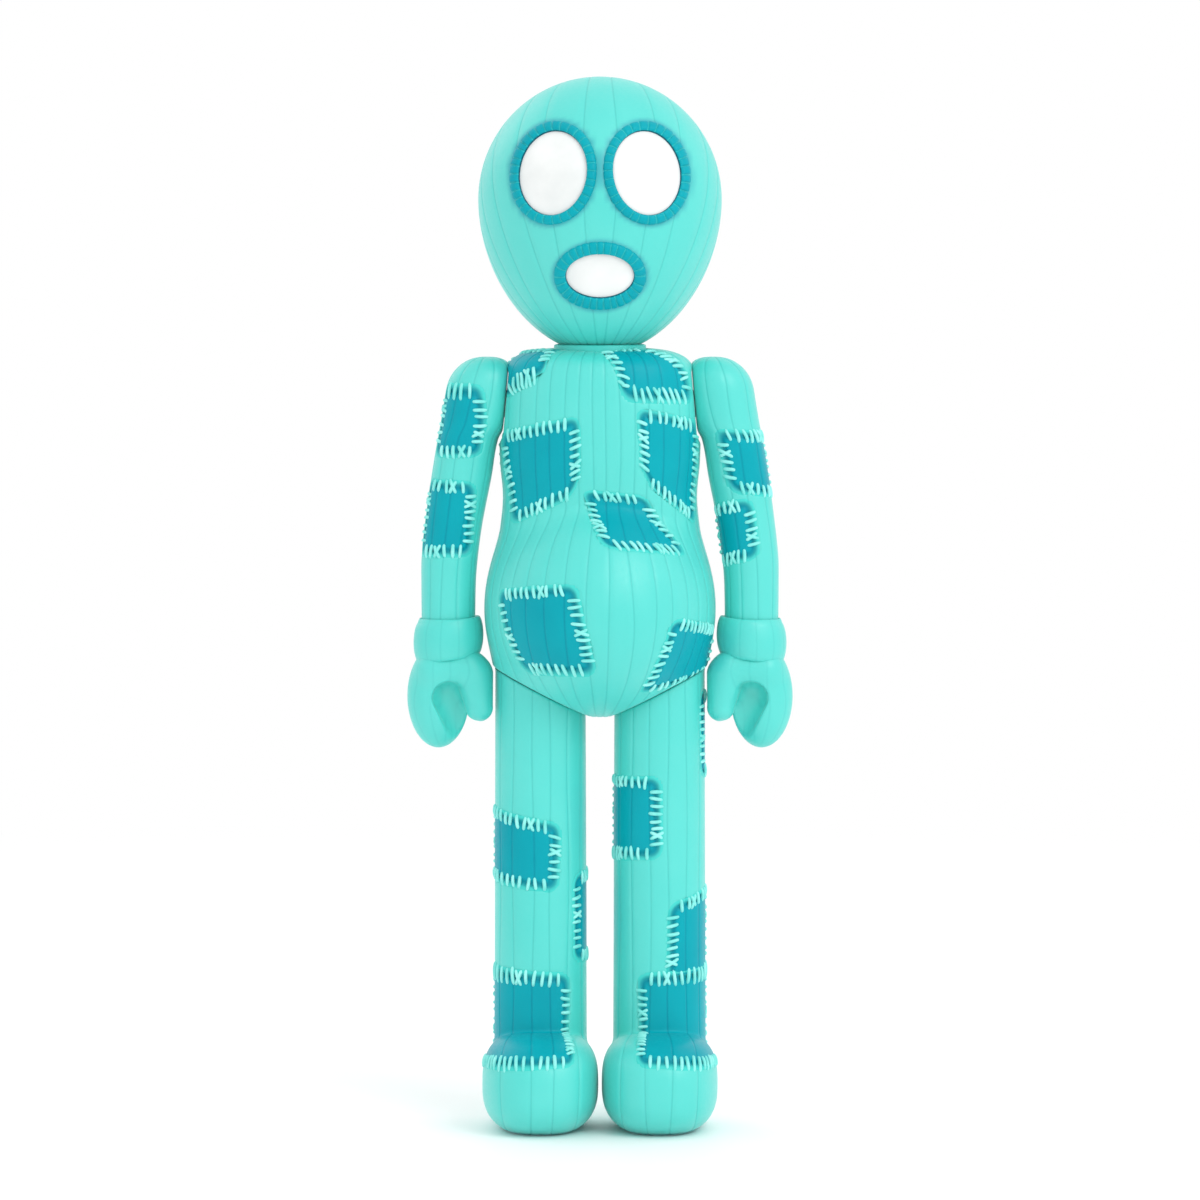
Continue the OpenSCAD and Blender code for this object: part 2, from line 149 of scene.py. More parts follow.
def soft_min(a, b, k):
    h = np.maximum(k - np.abs(a - b), 0) / k
    return np.minimum(a, b) - h * h * k / 4


def held_below(points, origin, axis, limit):
    """Points whose height along axis passes limit are laid on that plane, with a soft edge."""
    k = 0.3
    s = (points - origin) @ axis - limit
    push = np.where(s > 20 * k, s, k * np.log1p(np.exp(np.minimum(s / k, 25))))
    return points - push[..., None] * axis


BISECTIONS = 34


def first_crossing(inside, origin, direction, far):
    """Where rays leave a solid, by bisection up to a distance of far."""
    low = np.zeros(origin.shape[:-1])
    high = np.full(origin.shape[:-1], float(far))
    for _ in range(BISECTIONS):
        mid = (low + high) / 2
        within = inside(origin + direction * mid[..., None])
        low = np.where(within, mid, low)
        high = np.where(within, high, mid)
    return origin + direction * ((low + high) / 2)[..., None]


# ---- mesh helpers ----


def make_object(name, verts, faces, tone, material, closed=True):
    """A mesh object from points in millimetres and faces; a closed one's normals are turned outwards."""
    mesh = bpy.data.meshes.new(name)
    faces = [np.asarray(f, np.int32) for f in faces if len(f)]
    verts = np.asarray(verts, float)
    volume = 0.0
    away = verts - verts[0]
    for f in faces:
        for i in range(1, f.shape[1] - 1):
            a, b, c = away[f[:, 0]], away[f[:, i]], away[f[:, i + 1]]
            volume += np.einsum("ij,ij->i", a, np.cross(b, c)).sum()
    if closed and volume < 0:
        faces = [f[:, ::-1] for f in faces]
    loops = np.concatenate([f.ravel() for f in faces])
    sizes = np.concatenate([np.full(len(f), f.shape[1]) for f in faces])
    starts = np.concatenate([[0], np.cumsum(sizes)[:-1]])
    mesh.vertices.add(len(verts))
    mesh.vertices.foreach_set("co", (verts * MM).ravel())
    mesh.loops.add(len(loops))
    mesh.loops.foreach_set("vertex_index", loops.astype(np.int32))
    mesh.polygons.add(len(starts))
    mesh.polygons.foreach_set("loop_start", starts.astype(np.int32))
    mesh.polygons.foreach_set("use_smooth", np.full(len(starts), True))
    mesh.update(calc_edges=True)
    mesh.validate()
    if tone is not None:
        layer = mesh.color_attributes.new("tone", "FLOAT_COLOR", "POINT")
        rgba = np.ones((len(verts), 4), np.float32)
        rgba[:, :3] = tone
        layer.data.foreach_set("color", rgba.ravel())
    mesh.materials.append(material)
    obj = bpy.data.objects.new(name, mesh)
    bpy.context.scene.collection.objects.link(obj)
    return obj


def fan(ring, hub):
    """Triangles from a ring of points to the point in its middle."""
    return np.stack([ring, np.roll(ring, -1), np.full(len(ring), hub)], 1)


def join(parts):
    """Several pairs of points and faces as one."""
    starts = np.cumsum([0] + [len(p) for p, _ in parts])
    return np.vstack([p for p, _ in parts]), np.vstack([f + start for (_, f), start in zip(parts, starts)])


def grid_faces(rows, columns, wrap, start=0):
    """Quads of a rows by columns grid of points."""
    last = columns if wrap else columns - 1
    i, j = np.meshgrid(np.arange(rows - 1), np.arange(last), indexing="ij")
    k = (j + 1) % columns
    quads = np.stack([i * columns + j, i * columns + k, (i + 1) * columns + k, (i + 1) * columns + j], -1)
    return quads.reshape(-1, 4) + start


def closed_tube(points):
    """Points and faces of a row of rings, with a middle point and a fan of triangles at each end."""
    rows, columns = points.shape[:2]
    hubs = rows * columns
    verts = points.reshape(-1, 3)
    first, last = np.arange(columns), np.arange(columns) + hubs - columns
    verts = np.vstack([verts, verts[first].mean(0), verts[last].mean(0)])
    return verts, [grid_faces(rows, columns, True), fan(first, hubs)[:, ::-1], fan(last, hubs + 1)]


# ---- surfaces of the shells, in the figure's left-side frame ----

TORSO_PROFILE = [
    (0.00, 0.93, 0.86, 0.86),
    (0.15, 0.97, 0.95, 0.98),
    (0.26, 0.98, 0.98, 1.02),
    (0.38, 0.95, 0.97, 0.94),
    (0.49, 0.915, 0.94, 0.87),
    (0.60, 0.88, 0.96, 0.88),
    (0.70, 0.905, 1.01, 0.93),
    (0.80, 0.91, 1.02, 0.96),
    (0.90, 0.885, 1.00, 0.95),
    (1.00, 0.83, 0.92, 0.90),
]
TORSO_HALF_W, TORSO_HALF_D, TORSO_P = 40.0, 26.0, 2.25
FOOT_H, FOOT_P, FOOT_SPAN = 18.0, 2.6, 45.0
CROWN_H, CROWN_P, CROWN_SPAN = 13.0, 4.0, 38.0
BELLY_R, BELLY_FRONT, BELLY_BACK = 41.5, 45.5, 31.0
BELLY_Z = TORSO_BOTTOM + 40
BELLY_SOFT = 6  # how widely the belly runs into the barrel of the chest
SEAT_R = 14.0


def torso_levels(v):
    """Height and share of the full width for a path that runs along the torso's skin."""
    low, high = TORSO_BOTTOM + FOOT_H, TORSO_TOP + COLLAR_RISE - CROWN_H
    a = np.radians(np.clip((v - (low - FOOT_SPAN)) / FOOT_SPAN, 0.004, 1) * 90)
    b = np.radians(np.clip((v - high) / CROWN_SPAN, 0, 0.996) * 90)
    z = np.where(
        v < low,
        TORSO_BOTTOM + FOOT_H * (1 - np.cos(a) ** (2 / FOOT_P)),
        np.where(v > high, high + CROWN_H * np.sin(b) ** (2 / CROWN_P), v),
    )
    share = np.where(v < low, np.sin(a) ** (2 / FOOT_P), np.where(v > high, np.cos(b) ** (2 / CROWN_P), 1.0))
    return z, share


def torso_path(z):
    """The inverse of torso_levels: how far along the skin a height lies."""
    low, high = TORSO_BOTTOM + FOOT_H, TORSO_TOP + COLLAR_RISE - CROWN_H
    if z < low:
        c = (1 - (z - TORSO_BOTTOM) / FOOT_H) ** (FOOT_P / 2)
        return low - FOOT_SPAN + FOOT_SPAN * math.degrees(math.acos(c)) / 90
    if z > high:
        s = ((z - high) / CROWN_H) ** (CROWN_P / 2)
        return high + CROWN_SPAN * math.degrees(math.asin(s)) / 90
    return z


def torso_point(turn, v):
    z, share = torso_levels(v)
    t = (z - TORSO_BOTTOM) / TORSO_H
    front = np.abs(from_front(turn)) < 90
    depth = np.where(front, curve(TORSO_PROFILE, t, 2), curve(TORSO_PROFILE, t, 3))
    barrel = reach(TORSO_HALF_W * curve(TORSO_PROFILE, t, 1), TORSO_HALF_D * depth, TORSO_P, turn) * share
    level = np.maximum(1 - ((z - BELLY_Z) / BELLY_R) ** 2, 0)
    belly = reach(BELLY_R, np.where(front, BELLY_FRONT, BELLY_BACK), 2, turn) * np.sqrt(level)
    return around(0, blend_max(barrel, belly, BELLY_SOFT), turn, z)


def torso_trim(points):
    """Lays the skin on the sloping hip faces, the flat shoulder seats and under the collar."""
    away = np.hypot(points[..., 0], points[..., 1] - SPINE_Y)
    dip = smooth(away, COLLAR_R + 0.8, COLLAR_R) * np.maximum(points[..., 2] - TORSO_TOP, 0)
    points = points - dip[..., None] * np.array([0, 0, 1.0])
    for side in (1, -1):
        hip_axis = np.array([side * math.sin(HIP_TILT), 0, -math.cos(HIP_TILT)])
        points = held_below(points, HIP * [side, 1, 1], hip_axis, -HALF_GAP)
        axis = SHOULDER_AXIS * [side, 1, 1]
        origin = SHOULDER * [side, 1, 1]
        flat = held_below(points, origin, axis, -HALF_GAP)
        off = points - origin
        away = np.linalg.norm(off - (off @ axis)[..., None] * axis, axis=-1)
        near = np.where(off @ axis > -8, smooth(away, SEAT_R + 0.5, SEAT_R - 0.4), 0)
        points = points + (flat - points) * near[..., None]
    return points


ARM_PROFILE = [
    (0.000, 0.0, 9.7, 9.7),
    (0.150, -0.1, 9.9, 9.9),
    (0.240, -0.5, 10.2, 10.2),
    (0.370, -2.0, 10.4, 10.5),
    (0.545, -4.8, 10.9, 11.1),
    (0.690, -7.2, 11.0, 12.0),
    (0.745, -9.4, 12.2, 12.4),
    (0.830, -11.2, 12.6, 12.9),
    (0.920, -12.5, 12.5, 13.1),
    (1.000, -14.2, 12.0, 13.1),
]
CAP_H, CAP_P, CAP_SPAN, CAP_TURN = 14.0, 2.6, 21.0, 0.995
ARM_P = 2.1


def arm_levels(v):
    high = ARM_TOP - CAP_H
    b = np.radians(np.clip((v - high) / CAP_SPAN, 0, CAP_TURN) * 90)
    z = np.where(v > high, ARM_TOP - CAP_H * (1 - np.sin(b) ** (2 / CAP_P)), v)
    return z, np.where(v > high, np.cos(b) ** (2 / CAP_P), 1.0)


def arm_point(turn, v):
    z, share = arm_levels(v)
    t = (z - ARM_BOTTOM) / ARM_H
    r = reach(curve(ARM_PROFILE, t, 2) * share, curve(ARM_PROFILE, t, 3) * share, ARM_P, turn)
    return around(WRIST[0] + curve(ARM_PROFILE, t, 1), r, turn, z)


def arm_trim(points):
    return held_below(points, SHOULDER, -SHOULDER_AXIS, -HALF_GAP)


LEG_R = 16.4
SHOE_HALF_W, SHOE_HALF_L, SHOE_FORWARD = 21.0, 32.0, 14.0
SHOE_MID, SHOE_UP, SHOE_DOWN = 16.0, 19.0, 17.8
SHOE_PLAN_P, SHOE_UP_P, SHOE_DOWN_P = 2.35, 2.9, 2.6
SHOE_SCALE = 19  # brings the shoe's superellipsoid to about a distance in millimetres
CREASE = 1.6  # softness of the crease between leg and shoe
ANKLE = 46.0  # height where the leg's rings give way to the shoe's rays
SLANT_FROM = 118.0  # height where the rings start to lean towards the hip face
HIP_FACE = 14.0
SHOE_FAR = 60  # longer than any ray across the shoe
SOLE_INSET = 16  # how far inside the shoe's outline the lowest rays end, which keeps the sole flat
# Rays that sweep the shoe's profile: path, origin (reach, height), target (reach, height);
# a reach over 0 is a share of how far the shoe stands out from the leg
SHOE_RAYS = [
    (46.0, -10.0, 46.0, 0.00, 46.0),
    (39.0, -10.0, 38.0, 0.00, 39.0),
    (34.5, -8.0, 27.0, 0.03, 35.5),
    (30.0, -1.0, 20.0, 0.20, 34.6),
    (20.0, 0.25, 15.0, 0.50, 33.5),
    (8.0, 0.38, 14.0, 0.84, 27.0),
    (-4.0, 0.40, 14.0, 1.00, 15.0),
    (-16.0, 0.40, 14.0, 0.88, 4.0),
    (-22.5, 0.38, 14.0, 0.66, 0.0),
    (-31.0, 0.26, 14.0, 0.34, 0.0),
]


def leg_radius(z):
    return LEG_R + 0.5 * np.maximum(0, 1 - z / HIP[2])


def leg_inside(p):
    """The leg and shoe as one solid with a tight crease between them; x, y from the leg's axis."""
    x, y, z = p[..., 0], p[..., 1], p[..., 2]
    tube = np.hypot(x, y) - leg_radius(z)
    n = SHOE_PLAN_P
    plan = ((np.abs(x) / SHOE_HALF_W) ** n + (np.abs(y + SHOE_FORWARD) / SHOE_HALF_L) ** n) ** (1 / n)
    up = z > SHOE_MID
    n = np.where(up, SHOE_UP_P, SHOE_DOWN_P)
    rise = np.abs(z - SHOE_MID) / np.where(up, SHOE_UP, SHOE_DOWN)
    shoe = ((plan ** n + rise ** n) ** (1 / n) - 1) * SHOE_SCALE
    tube = np.where(z < SHOE_MID, np.maximum(tube, shoe), tube)
    return (soft_min(tube, shoe, CREASE) < 0) & (z > 0)


def shoe_heading(turn):
    """The way a knit line runs out over the shoe: nearly straight ahead in front, outwards behind."""
    a = np.radians(turn)
    ahead = unit(np.stack([0.24 * np.sin(a), -np.ones_like(a)], -1))
    out = np.stack([np.sin(a), -np.cos(a)], -1)
    side = smooth(np.abs(from_front(turn)), 38, 92)[..., None]
    return unit(ahead * (1 - side) + out * side)


def leg_point(turn, v):
    """v is the height above the ankle, up to the sloping hip face and over it to its middle;
    below the ankle it goes on along the shoe's profile."""
    turn, v = np.broadcast_arrays(np.asarray(turn, float), np.asarray(v, float))
    a = np.radians(turn)
    r = leg_radius(np.clip(v, ANKLE, HIP[2]))
    face = np.clip((v - HIP[2]) / HIP_FACE, 0, 0.98)
    x = r * (1 - face) * np.sin(a)
    slant = x * math.tan(HIP_TILT) * np.clip((v - SLANT_FROM) / (HIP[2] - SLANT_FROM), 0, 1)
    z = np.clip(v, ANKLE, HIP[2]) + slant
    tube = np.stack([x, -r * (1 - face) * np.cos(a), z], -1)
    if (v >= ANKLE).all():
        return tube
    low = np.minimum(v, ANKLE)
    rays = SHOE_RAYS[::-1]
    o_r, o_z, t_r, t_z = (curve(rays, low, c) for c in (1, 2, 3, 4))
    r = leg_radius(np.full_like(low, ANKLE))
    skin = np.stack([r * np.sin(a), -r * np.cos(a)], -1)
    heading = shoe_heading(turn)
    level = np.full(skin.shape[:-1] + (1,), SHOE_MID)
    flat = np.concatenate([skin, level], -1)
    way = np.concatenate([heading, 0 * level], -1)
    edge = first_crossing(leg_inside, flat - way * 4, way, SHOE_FAR)
    stand = np.einsum("...i,...i->...", edge - flat, way)
    length = np.maximum(stand, 3)
    start = np.minimum(np.where(o_r > 0, o_r * length, o_r), stand - 2.5)
    origin = np.concatenate([skin + heading * start[..., None], o_z[..., None]], -1)
    end = np.minimum(np.maximum(t_r, 0) * length, stand - SOLE_INSET * smooth(low, -14, -31))
    target = np.concatenate([skin + heading * end[..., None], t_z[..., None]], -1)
    shoe = first_crossing(leg_inside, origin, unit(target - origin), SHOE_FAR)
    return np.where((v < ANKLE)[..., None], shoe, tube)


def leg_place(points):
    return points + [LEG_X, SPINE_Y, 0]


def leg_trim(points):
    axis = np.array([-math.sin(HIP_TILT), 0, math.cos(HIP_TILT)])
    points = held_below(points, HIP, axis, -HALF_GAP)
    return np.maximum(points, [-np.inf, -np.inf, 0])  # nothing goes below the floor


HEAD_CENTRE = np.array([0.0, 19.0, -16.0])  # middle of the chord between the knit lines' two ends
HEAD_TIP = math.atan2(38, 76)  # how far that chord leans back
JAW_P = 1.9
HEAD_FAR = 120  # longer than any ray across the head


def head_radius(z):
    up = np.sqrt(np.clip(1 - (z / HEAD_UP) ** 2, 0, 1))
    down = np.clip(1 - (np.abs(z) / HEAD_DOWN) ** JAW_P, 0, 1) ** (1 / JAW_P)
    return HEAD_R * np.where(z > 0, up, down)


def head_inside(p):
    z = p[..., 2]
    return (np.hypot(p[..., 0], p[..., 1]) < head_radius(z)) & (z < HEAD_UP) & (z > -HEAD_DOWN)


def head_point(turn, v):
    """v runs from the chin, 0, over the face and crown to the back of the head, 180."""
    turn, v = np.broadcast_arrays(np.asarray(turn, float), np.asarray(v, float))
    a, b = np.radians(turn), np.radians(v)
    x, y, z = np.sin(b) * np.sin(a), -np.sin(b) * np.cos(a), -np.cos(b)
    c, s = math.cos(HEAD_TIP), math.sin(HEAD_TIP)
    way = np.stack([x, y * c + z * s, z * c - y * s], -1)
    origin = np.broadcast_to(HEAD_CENTRE, way.shape)
    hit = first_crossing(head_inside, origin, way, HEAD_FAR)
    return hit + [0, SPINE_Y, HEAD_Z]


def head_trim(points):
    return held_below(points, np.array([0, 0, HEAD_BOTTOM]), np.array([0, 0, -1.0]), 0)


def face_point(x, z):
    """The head's skin and its outward normal straight behind a point of the face."""
    h = z - HEAD_Z

    def at(px, pz):
        deep = np.sqrt(np.maximum(head_radius(pz) ** 2 - px ** 2, 0.01))
        return np.stack([px, SPINE_Y - deep, pz + HEAD_Z], -1)

    p, e = at(x, h), 0.05
    return p, unit(np.cross(at(x + e, h) - p, at(x, h + e) - p))


# ---- ribbed skins and their sewn patches ----

LINE_DEPTH = 0.17
SINK = 1.0  # how far a skin lies back under a patch
SOFT = (2.4, 2.4, 2.4, 2.4)  # radii that round a patch's corners
LIP = 2.6  # how far the moulding round a patch reaches beyond its outline
PATCH_PITCH = 0.36
# Height of a patch's moulding against the distance inside its outline
MOULD_D = [-2.6, -2.1, -1.5, -0.9, -0.3, 0.3, 0.8, 1.4, 2.4]
MOULD_H = [-0.07, -0.01, 0.13, -0.12, -0.50, -0.52, -0.28, 0.0, 0.06]
STITCH_STEP = 2.85  # along a patch's side
STITCH_CLEAR = 2.2  # from a corner to where the stitches may start
# An eight-cornered end closed with quads
OCTAGON = np.array([[0, 1, 2, 3], [0, 3, 4, 7], [4, 5, 6, 7]])


class Skin:
    """One shell's surface over (turn in degrees, path in mm), with its knit lines and its patches."""

    def __init__(self, name, point, lines, seed, first, place=None, trim=None, mirrored=False):
        self.name, self.point = name, point
        self.place = place or (lambda p: p)
        self.trim = trim or (lambda p: p)
        self.mirrored = mirrored
        rng = random.Random(seed)
        step = 360 / lines
        self.turns = np.array([first + step * (k + rng.uniform(-0.12, 0.12)) for k in range(lines)])
        self.waves = [
            (rng.uniform(0.03, 0.07) * step, rng.uniform(0.05, 0.1), rng.uniform(0, 6))  # size, rate, phase
            for _ in range(lines)
        ]
        self.patches = []

    def line_turn(self, k, v):
        size, rate, phase = self.waves[k]
        return self.turns[k] + size * np.sin(v * rate + phase)

    def scale(self, turn, v):
        """Millimetres to one degree of turn."""
        across = self.point(turn + 0.5, v) - self.point(turn - 0.5, v)
        return np.maximum(np.linalg.norm(across, axis=-1), 1e-3)

    def line_field(self, turn, v):
        """1 on a knit line, 0 half a millimetre away."""
        scale = self.scale(turn, v)
        near = np.full(np.shape(turn), 9.0)
        for k in range(len(self.turns)):
            near = np.minimum(near, np.abs(from_front(turn - self.line_turn(k, v))) * scale)
        return np.clip(1 - near / 0.5, 0, 1)

    def finish(self, points):
        points = self.trim(self.place(points))
        return points * [-1, 1, 1] if self.mirrored else points

    def skin_grid(self, path, between):
        """Columns that follow the knit lines: three to a line and some between."""
        v = np.asarray(path, float)
        count = len(self.turns)
        lines = np.stack([self.line_turn(k, v) for k in range(count)], 1)
        lines = np.concatenate([lines, lines[:, :1] + 360], 1)
        columns, depth = [], []
        for k in range(count):
            a, b = lines[:, k], lines[:, k + 1]
            room = (b - a) * 0.2
            scale = self.scale(a, v)
            near, wide = np.minimum(0.24 / scale, room * 0.5), np.minimum(0.52 / scale, room)
            start, end = a + wide, b - wide
            columns += [a, a + near, start]
            depth += [1.0, 0.5, 0.0]
            for m in range(1, between + 1):
                columns.append(start + (end - start) * m / (between + 1))
                depth.append(0.0)
            columns += [end, b - near]
            depth += [0.0, 0.5]
        turn = np.stack(columns, 1)
        return turn, np.broadcast_to(v[:, None], turn.shape), np.broadcast_to(np.array(depth), turn.shape)

    def normals(self, turn, v):
        e = 0.2
        along = self.point(turn, v + e) - self.point(turn, v - e)
        across = self.point(turn + e, v) - self.point(turn - e, v)
        return unit(np.cross(across, along))

    def build_skin(self, path, between, shade_below=None):
        """The shell itself, sunk a little under each patch so that the patch's moulding shows; its tone
        holds painted shade in the knit lines and, where asked, along its lowest edge.
        """
        turn, v, line = self.skin_grid(path, between)
        sink = np.zeros(turn.shape)
        for patch in self.patches:
            sink = np.maximum(sink, smooth(patch.inside(turn, v), -2.2, -1.1))
        points = self.point(turn, v)
        points = self.finish(points - self.normals(turn, v) * (LINE_DEPTH * line + SINK * sink)[..., None])
        verts, faces = closed_tube(points)
        tone = np.zeros((len(verts), 3))
        # painted shade in the knit lines' grooves
        tone[:-2, 1] = line.ravel()
        # painted shade along the lowest edge, next to the floor
        if shade_below:
            tone[:-2, 2] = 0.7 * smooth(verts[:-2, 2], shade_below, 0.5 * shade_below)
        return make_object(self.name, verts, faces, tone, VINYL)

    def add_patch(self, corners, rounds=SOFT, bare=None):
        """Corners are (turn, path), in order round the patch, each with the radius that rounds it;
        bare is the number of a side without stitches."""
        self.patches.append(Patch(self, corners, rounds, bare))


class Patch:
    """A four-cornered patch on a skin, with a moulded channel round it and stitches across that."""

    def __init__(self, skin, corners, rounds, bare):
        self.skin, self.rounds, self.bare = skin, rounds, bare
        self.corners = np.array(corners, float)
        s = np.linspace(0, 1, 9)
        self.wide = [self.length(s, 0 * s), self.length(s, 0 * s + 1)]
        self.tall = [self.length(0 * s, s), self.length(0 * s + 1, s)]

    def uv(self, s, t):
        """Turn and path at a share s across and t down."""
        s, t = s[..., None], t[..., None]
        a, b, c, d = self.corners
        return np.moveaxis(a * (1 - s) * (1 - t) + b * s * (1 - t) + c * s * t + d * (1 - s) * t, -1, 0)

    def at(self, s, t):
        return self.skin.point(*self.uv(s, t))

    def length(self, s, t):
        return np.linalg.norm(np.diff(self.at(s, t), axis=0), axis=1).sum()

    def size(self, s, t):
        wide = self.wide[0] * (1 - t) + self.wide[1] * t
        tall = self.tall[0] * (1 - s) + self.tall[1] * s
        return wide, tall

    def edge_distance(self, s, t):
        """Millimetres inside the rounded outline; below 0 outside it."""
        wide, tall = self.size(np.clip(s, 0, 1), np.clip(t, 0, 1))
        a, b, c, d = self.rounds
        r = np.where(t < 0.5, np.where(s < 0.5, a, b), np.where(s < 0.5, d, c))
        x = np.abs(s - 0.5) * wide - wide / 2 + r
        y = np.abs(t - 0.5) * tall - tall / 2 + r
        return r - np.hypot(np.maximum(x, 0), np.maximum(y, 0)) - np.minimum(np.maximum(x, y), 0)

    def inside(self, turn, v):
        """The same, for points given by turn and path."""
        middle = self.corners.mean(0)
        turn = middle[0] + from_front(turn - middle[0])
        s = np.full(turn.shape, 0.5)
        t = s.copy()
        for _ in range(12):
            u0, v0 = self.uv(s, t)
            us, vs = self.uv(s + 1e-3, t)
            ut, vt = self.uv(s, t + 1e-3)
            a, b, c, d = (us - u0) * 1e3, (ut - u0) * 1e3, (vs - v0) * 1e3, (vt - v0) * 1e3
            det = a * d - b * c
            det = np.where(np.abs(det) < 1e-6, 1e-6, det)
            du, dv = turn - u0, v - v0
            s = np.clip(s + (d * du - b * dv) / det, -1.5, 2.5)
            t = np.clip(t + (a * dv - c * du) / det, -1.5, 2.5)
        u, w = self.uv(s, t)
        missed = np.hypot(u - turn, w - v) > 0.5
        return np.where(missed, -99, self.edge_distance(s, t))

    def grid(self):
        wide, tall = max(self.wide), max(self.tall)
        s = np.linspace(-LIP / wide, 1 + LIP / wide, int((wide + 2 * LIP) / PATCH_PITCH))
        t = np.linspace(-LIP / tall, 1 + LIP / tall, int((tall + 2 * LIP) / PATCH_PITCH))
        return np.meshgrid(s, t)

    def over(self, turn, v):
        """How far these points lie inside a patch listed before this one, which lies on top."""
        earlier = self.skin.patches[:self.skin.patches.index(self)]
        return np.max([p.inside(turn, v) for p in earlier] + [np.full(np.shape(turn), -99.0)], axis=0)

    def mesh(self):
        """Points, faces and tones: red is paint, green painted shade in a knit line, blue painted shade in
        the channel.
        """
        s, t = self.grid()
        turn, v = self.uv(s, t)
        d = self.edge_distance(s, t)
        hidden = self.over(turn, v)
        line = self.skin.line_field(turn, v) * smooth(np.abs(d + 0.2), 0.6, 1.3)
        height = np.interp(d, MOULD_D, MOULD_H) - LINE_DEPTH * line
        normals = self.skin.normals(turn, v)
        base = self.skin.point(turn, v)
        points = self.skin.finish(base + normals * height[..., None])
        # painted shade: green darkens the knit lines, blue the channel round the outline
        tone = np.stack([smooth(d, -1.5, 0.5), line, 1 - smooth(np.abs(d + 0.1), 0.3, 2.2)], -1)
        faces = grid_faces(*s.shape, False)
        keep = (d.ravel()[faces] > -LIP - 0.05).any(1) & (hidden.ravel()[faces] < -0.9).all(1)
        flat = points.reshape(-1, 3)
        out = (self.skin.finish(base + normals * (height + 1)[..., None]) - points).reshape(-1, 3)
        a, b, c = (flat[faces[:, i]] for i in range(3))
        if np.einsum("ij,ij->i", np.cross(b - a, c - a), out[faces[:, 0]]).sum() < 0:
            faces = faces[:, ::-1]
        return flat, faces[keep], tone.reshape(-1, 3)

    def stitch_lines(self, rng):
        """Where the stitches along the four sides stand, and their lean, length and shift."""
        found = []
        corners = [(0, 0), (1, 0), (1, 1), (0, 1)]
        share = np.linspace(0, 1, 41)
        for k in range(4):
            if k == self.bare:
                continue
            a, b = np.array(corners[k], float), np.array(corners[(k + 1) % 4], float)
            edge = self.at(*(a + (b - a) * share[:, None]).T)
            run = np.concatenate([[0], np.linalg.norm(np.diff(edge, axis=0), axis=1).cumsum()])
            room = run[-1] - 2 * STITCH_CLEAR
            count = max(3, int(round(room / STITCH_STEP)))
            crossed = rng.randrange(1, count - 1) if count > 4 else -1
            inward = np.array([(0, 1), (-1, 0), (0, -1), (1, 0)][k], float)
            for i in range(count):
                f = (i + 0.5 + rng.uniform(-0.13, 0.13)) / count
                middle = a + (b - a) * np.interp(STITCH_CLEAR + f * room, run, share)
                leans = [rng.uniform(-0.16, 0.16)]
                if i == crossed:
                    leans = [0.5, -0.5]
                for lean in leans:
                    size, shift = rng.uniform(4.8, 5.9), rng.uniform(-0.3, 0.3)
                    found.append((middle, b - a, inward, lean, size, shift))
        return found

    def stitches(self, rng):
        """Thread across the channel: slim capsules that dip into the skin at both ends."""
        threads = []
        rings, sides = 9, 8
        for middle, along, inward, lean, size, shift in self.stitch_lines(rng):
            f = np.linspace(-0.5, 0.5, rings)
            wide, tall = self.size(*middle)
            per_mm = np.array([1 / wide, 1 / tall])
            bow = rng.uniform(-0.25, 0.25)
            across = f * size + shift
            sideways = lean * f * size + bow * (1 - 4 * f * f)
            st = middle + (inward * across[:, None] + along * sideways[:, None]) * per_mm
            turn, v = self.uv(st[:, 0], st[:, 1])
            if self.over(turn, v).max() > -2.0:
                continue
            centre = self.skin.point(turn, v)
            n = self.skin.normals(turn, v)
            run = np.gradient(centre, axis=0)
            side = unit(np.cross(n, run))
            bulge = np.sqrt(np.clip(1 - (2 * f) ** 2, 0, 1))
            fat = rng.uniform(0.62, 0.72) * (0.3 + 0.7 * bulge ** 0.6)
            lift = -0.5 + 0.66 * bulge
            a = np.linspace(0, 2 * math.pi, sides, endpoint=False)
            ring = (
                centre[:, None]
                + n[:, None] * (lift[:, None, None] + fat[:, None, None] * np.sin(a)[None, :, None])
                + side[:, None] * (fat[:, None, None] * np.cos(a)[None, :, None])
            )
            faces = [grid_faces(rings, sides, True), OCTAGON[:, ::-1], OCTAGON + (rings - 1) * sides]
            threads.append((self.skin.finish(ring).reshape(-1, 3), np.vstack(faces)))
        return join(threads)


def sew(skin, body):
    """All of a skin's patches as one piece, and their stitches as another."""
    rng = random.Random(body)
    sheets = [patch.mesh() for patch in skin.patches]
    verts, faces = join([sheet[:2] for sheet in sheets])
    tones = np.vstack([sheet[2] for sheet in sheets])
    used = np.unique(faces)
    order = np.full(len(verts), -1)
    order[used] = np.arange(len(used))
    patches = make_object(f"{body}_patches", verts[used], [order[faces]], tones[used], PAINTED, closed=False)
    verts, faces = join([patch.stitches(rng) for patch in skin.patches])
    stitches = make_object(f"{body}_stitches", verts, [faces], None, STITCH)
    for piece in (patches, stitches):
        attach(piece, body)


# ---- materials ----


def linear(r, g, b):
    """An sRGB colour, 0 to 255, as linear RGBA."""
    def one(c):
        c /= 255
        return c / 12.92 if c <= 0.04045 else ((c + 0.055) / 1.055) ** 2.4
    return (one(r), one(g), one(b), 1)


